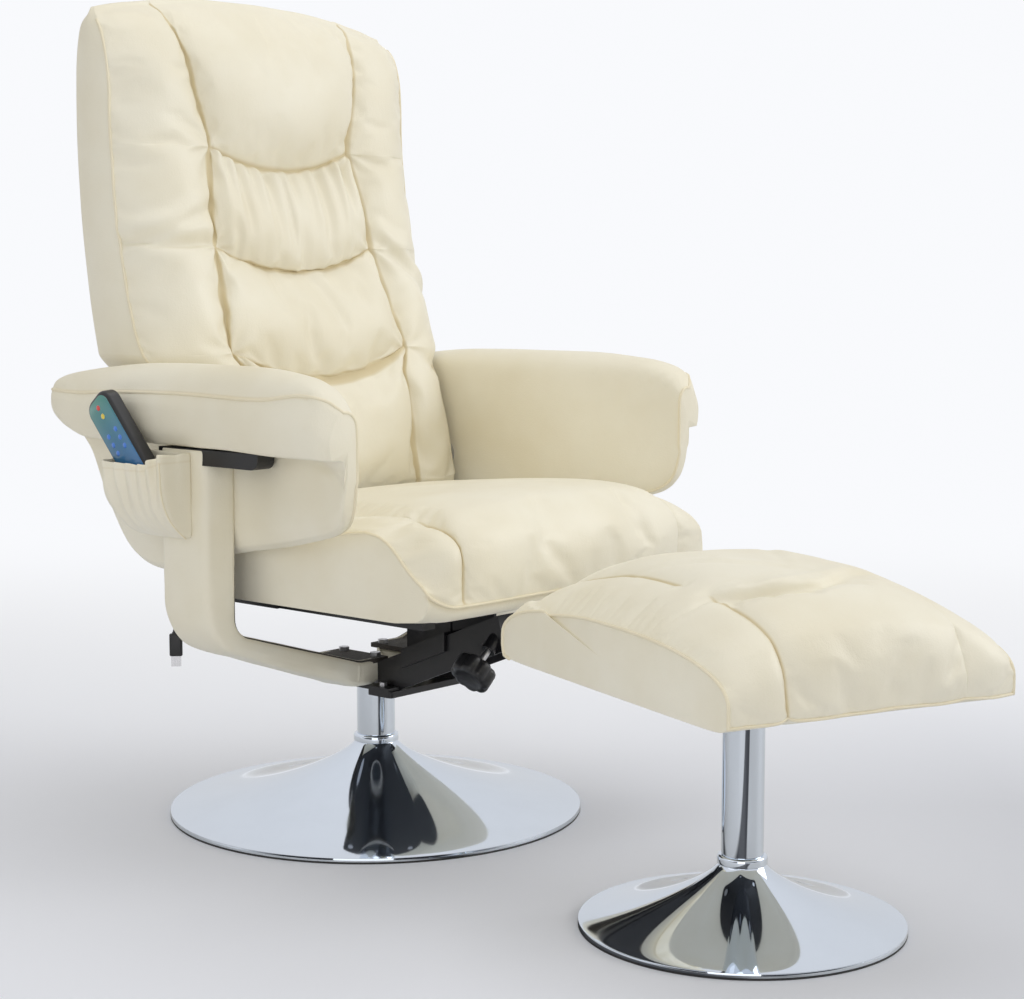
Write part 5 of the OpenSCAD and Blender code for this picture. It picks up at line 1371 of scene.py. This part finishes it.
def dress_frame():
    """Every CAD node that stays gets the finish of its material slot, and the lined boards their cloth"""
    for row in frame["record"]["subparts"]:
        slots = frame["nodes"][row["node"]].data.materials
        made = finish("lining" if row["node"] in LINED else row["material_slot"])
        for k in range(len(slots)):
            slots[k] = made
        if not slots:
            slots.append(made)


class RECLINER_OT_stage(bpy.types.Operator):
    """Sets the camera, the floor and the light"""
    bl_idname = "recliner.stage"
    bl_label = "Stage"

    def execute(self, context):
        context.scene.view_settings.view_transform = "Standard"
        make_camera()
        make_world()
        make_lamps()
        make_floor()
        return {"FINISHED"}


class RECLINER_OT_lead(bpy.types.Operator):
    """Hangs the power lead with its plug"""
    bl_idname = "recliner.lead"
    bl_label = "Power lead"

    def execute(self, context):
        make_lead()
        return {"FINISHED"}


class RECLINER_OT_frame(bpy.types.Operator):
    """Gives the frame's own parts their finishes"""
    bl_idname = "recliner.frame"
    bl_label = "Frame finishes"

    def execute(self, context):
        dress_frame()
        return {"FINISHED"}


class RECLINER_OT_bases(bpy.types.Operator):
    """Turns the two chromed bases with their columns"""
    bl_idname = "recliner.bases"
    bl_label = "Bases"

    def execute(self, context):
        make_base("chair", CHAIR_BASE, "base", ("chair_base_shell", "chair_column", "chair_collar"))
        make_base("footstool", STOOL_BASE, "footstool", ("stool_base_shell", "stool_column", "stool_collar"), STOOL_PLACE)
        return {"FINISHED"}


class RECLINER_OT_knob(bpy.types.Operator):
    """Makes the friction knob's grip"""
    bl_idname = "recliner.knob"
    bl_label = "Knob"

    def execute(self, context):
        make_knob()
        return {"FINISHED"}


class RECLINER_OT_back(bpy.types.Operator):
    """Upholsters the back"""
    bl_idname = "recliner.back"
    bl_label = "Back"

    def execute(self, context):
        make_back()
        return {"FINISHED"}


class RECLINER_OT_seat(bpy.types.Operator):
    """Upholsters the seat"""
    bl_idname = "recliner.seat"
    bl_label = "Seat"

    def execute(self, context):
        make_seat()
        return {"FINISHED"}


class RECLINER_OT_arms(bpy.types.Operator):
    """Upholsters both arms"""
    bl_idname = "recliner.arms"
    bl_label = "Arms"

    def execute(self, context):
        make_arm(-1, "left_arm")
        make_arm(1, "right_arm")
        return {"FINISHED"}


class RECLINER_OT_supports(bpy.types.Operator):
    """Pads the two bent supports"""
    bl_idname = "recliner.supports"
    bl_label = "Supports"

    def execute(self, context):
        make_support(-1, "left_support")
        make_support(1, "right_support")
        return {"FINISHED"}


class RECLINER_OT_pocket(bpy.types.Operator):
    """Sews the gathered pocket"""
    bl_idname = "recliner.pocket"
    bl_label = "Pocket"

    def execute(self, context):
        make_pocket()
        return {"FINISHED"}


class RECLINER_OT_handset(bpy.types.Operator):
    """Makes the handset and its buttons"""
    bl_idname = "recliner.handset"
    bl_label = "Handset"

    def execute(self, context):
        make_handset()
        make_buttons()
        return {"FINISHED"}


class RECLINER_OT_footstool(bpy.types.Operator):
    """Upholsters the footstool"""
    bl_idname = "recliner.footstool"
    bl_label = "Footstool"

    def execute(self, context):
        make_stool()
        return {"FINISHED"}


# The camera and the lead come first
STEPS = (RECLINER_OT_stage, RECLINER_OT_lead, RECLINER_OT_frame, RECLINER_OT_bases, RECLINER_OT_knob, RECLINER_OT_back,
    RECLINER_OT_seat, RECLINER_OT_arms, RECLINER_OT_supports, RECLINER_OT_pocket, RECLINER_OT_handset,
    RECLINER_OT_footstool)


class RECLINER_PT_panel(bpy.types.Panel):
    """Sizes, colours and steps of the recliner"""
    bl_label = "Recliner"
    bl_idname = "RECLINER_PT_panel"
    bl_space_type = "VIEW_3D"
    bl_region_type = "UI"
    bl_category = "Recliner"

    def draw(self, context):
        for group in (upholstery(), hardware()):
            for key in group.__annotations__:
                self.layout.prop(group, key)
        for step in STEPS:
            self.layout.operator(step.bl_idname)


CLASSES = (UpholsterySettings, HardwareSettings, *STEPS, RECLINER_PT_panel)


def register():
    for made in CLASSES:
        bpy.utils.register_class(made)
    bpy.types.Scene.recliner_upholstery = PointerProperty(type=UpholsterySettings)
    bpy.types.Scene.recliner_hardware = PointerProperty(type=HardwareSettings)


def unregister():
    del bpy.types.Scene.recliner_upholstery
    del bpy.types.Scene.recliner_hardware
    for made in reversed(CLASSES):
        bpy.utils.unregister_class(made)


def main():
    register()
    for step in STEPS:
        getattr(bpy.ops.recliner, step.bl_idname.split(".")[1])()


if __name__ == "__main__":
    main()
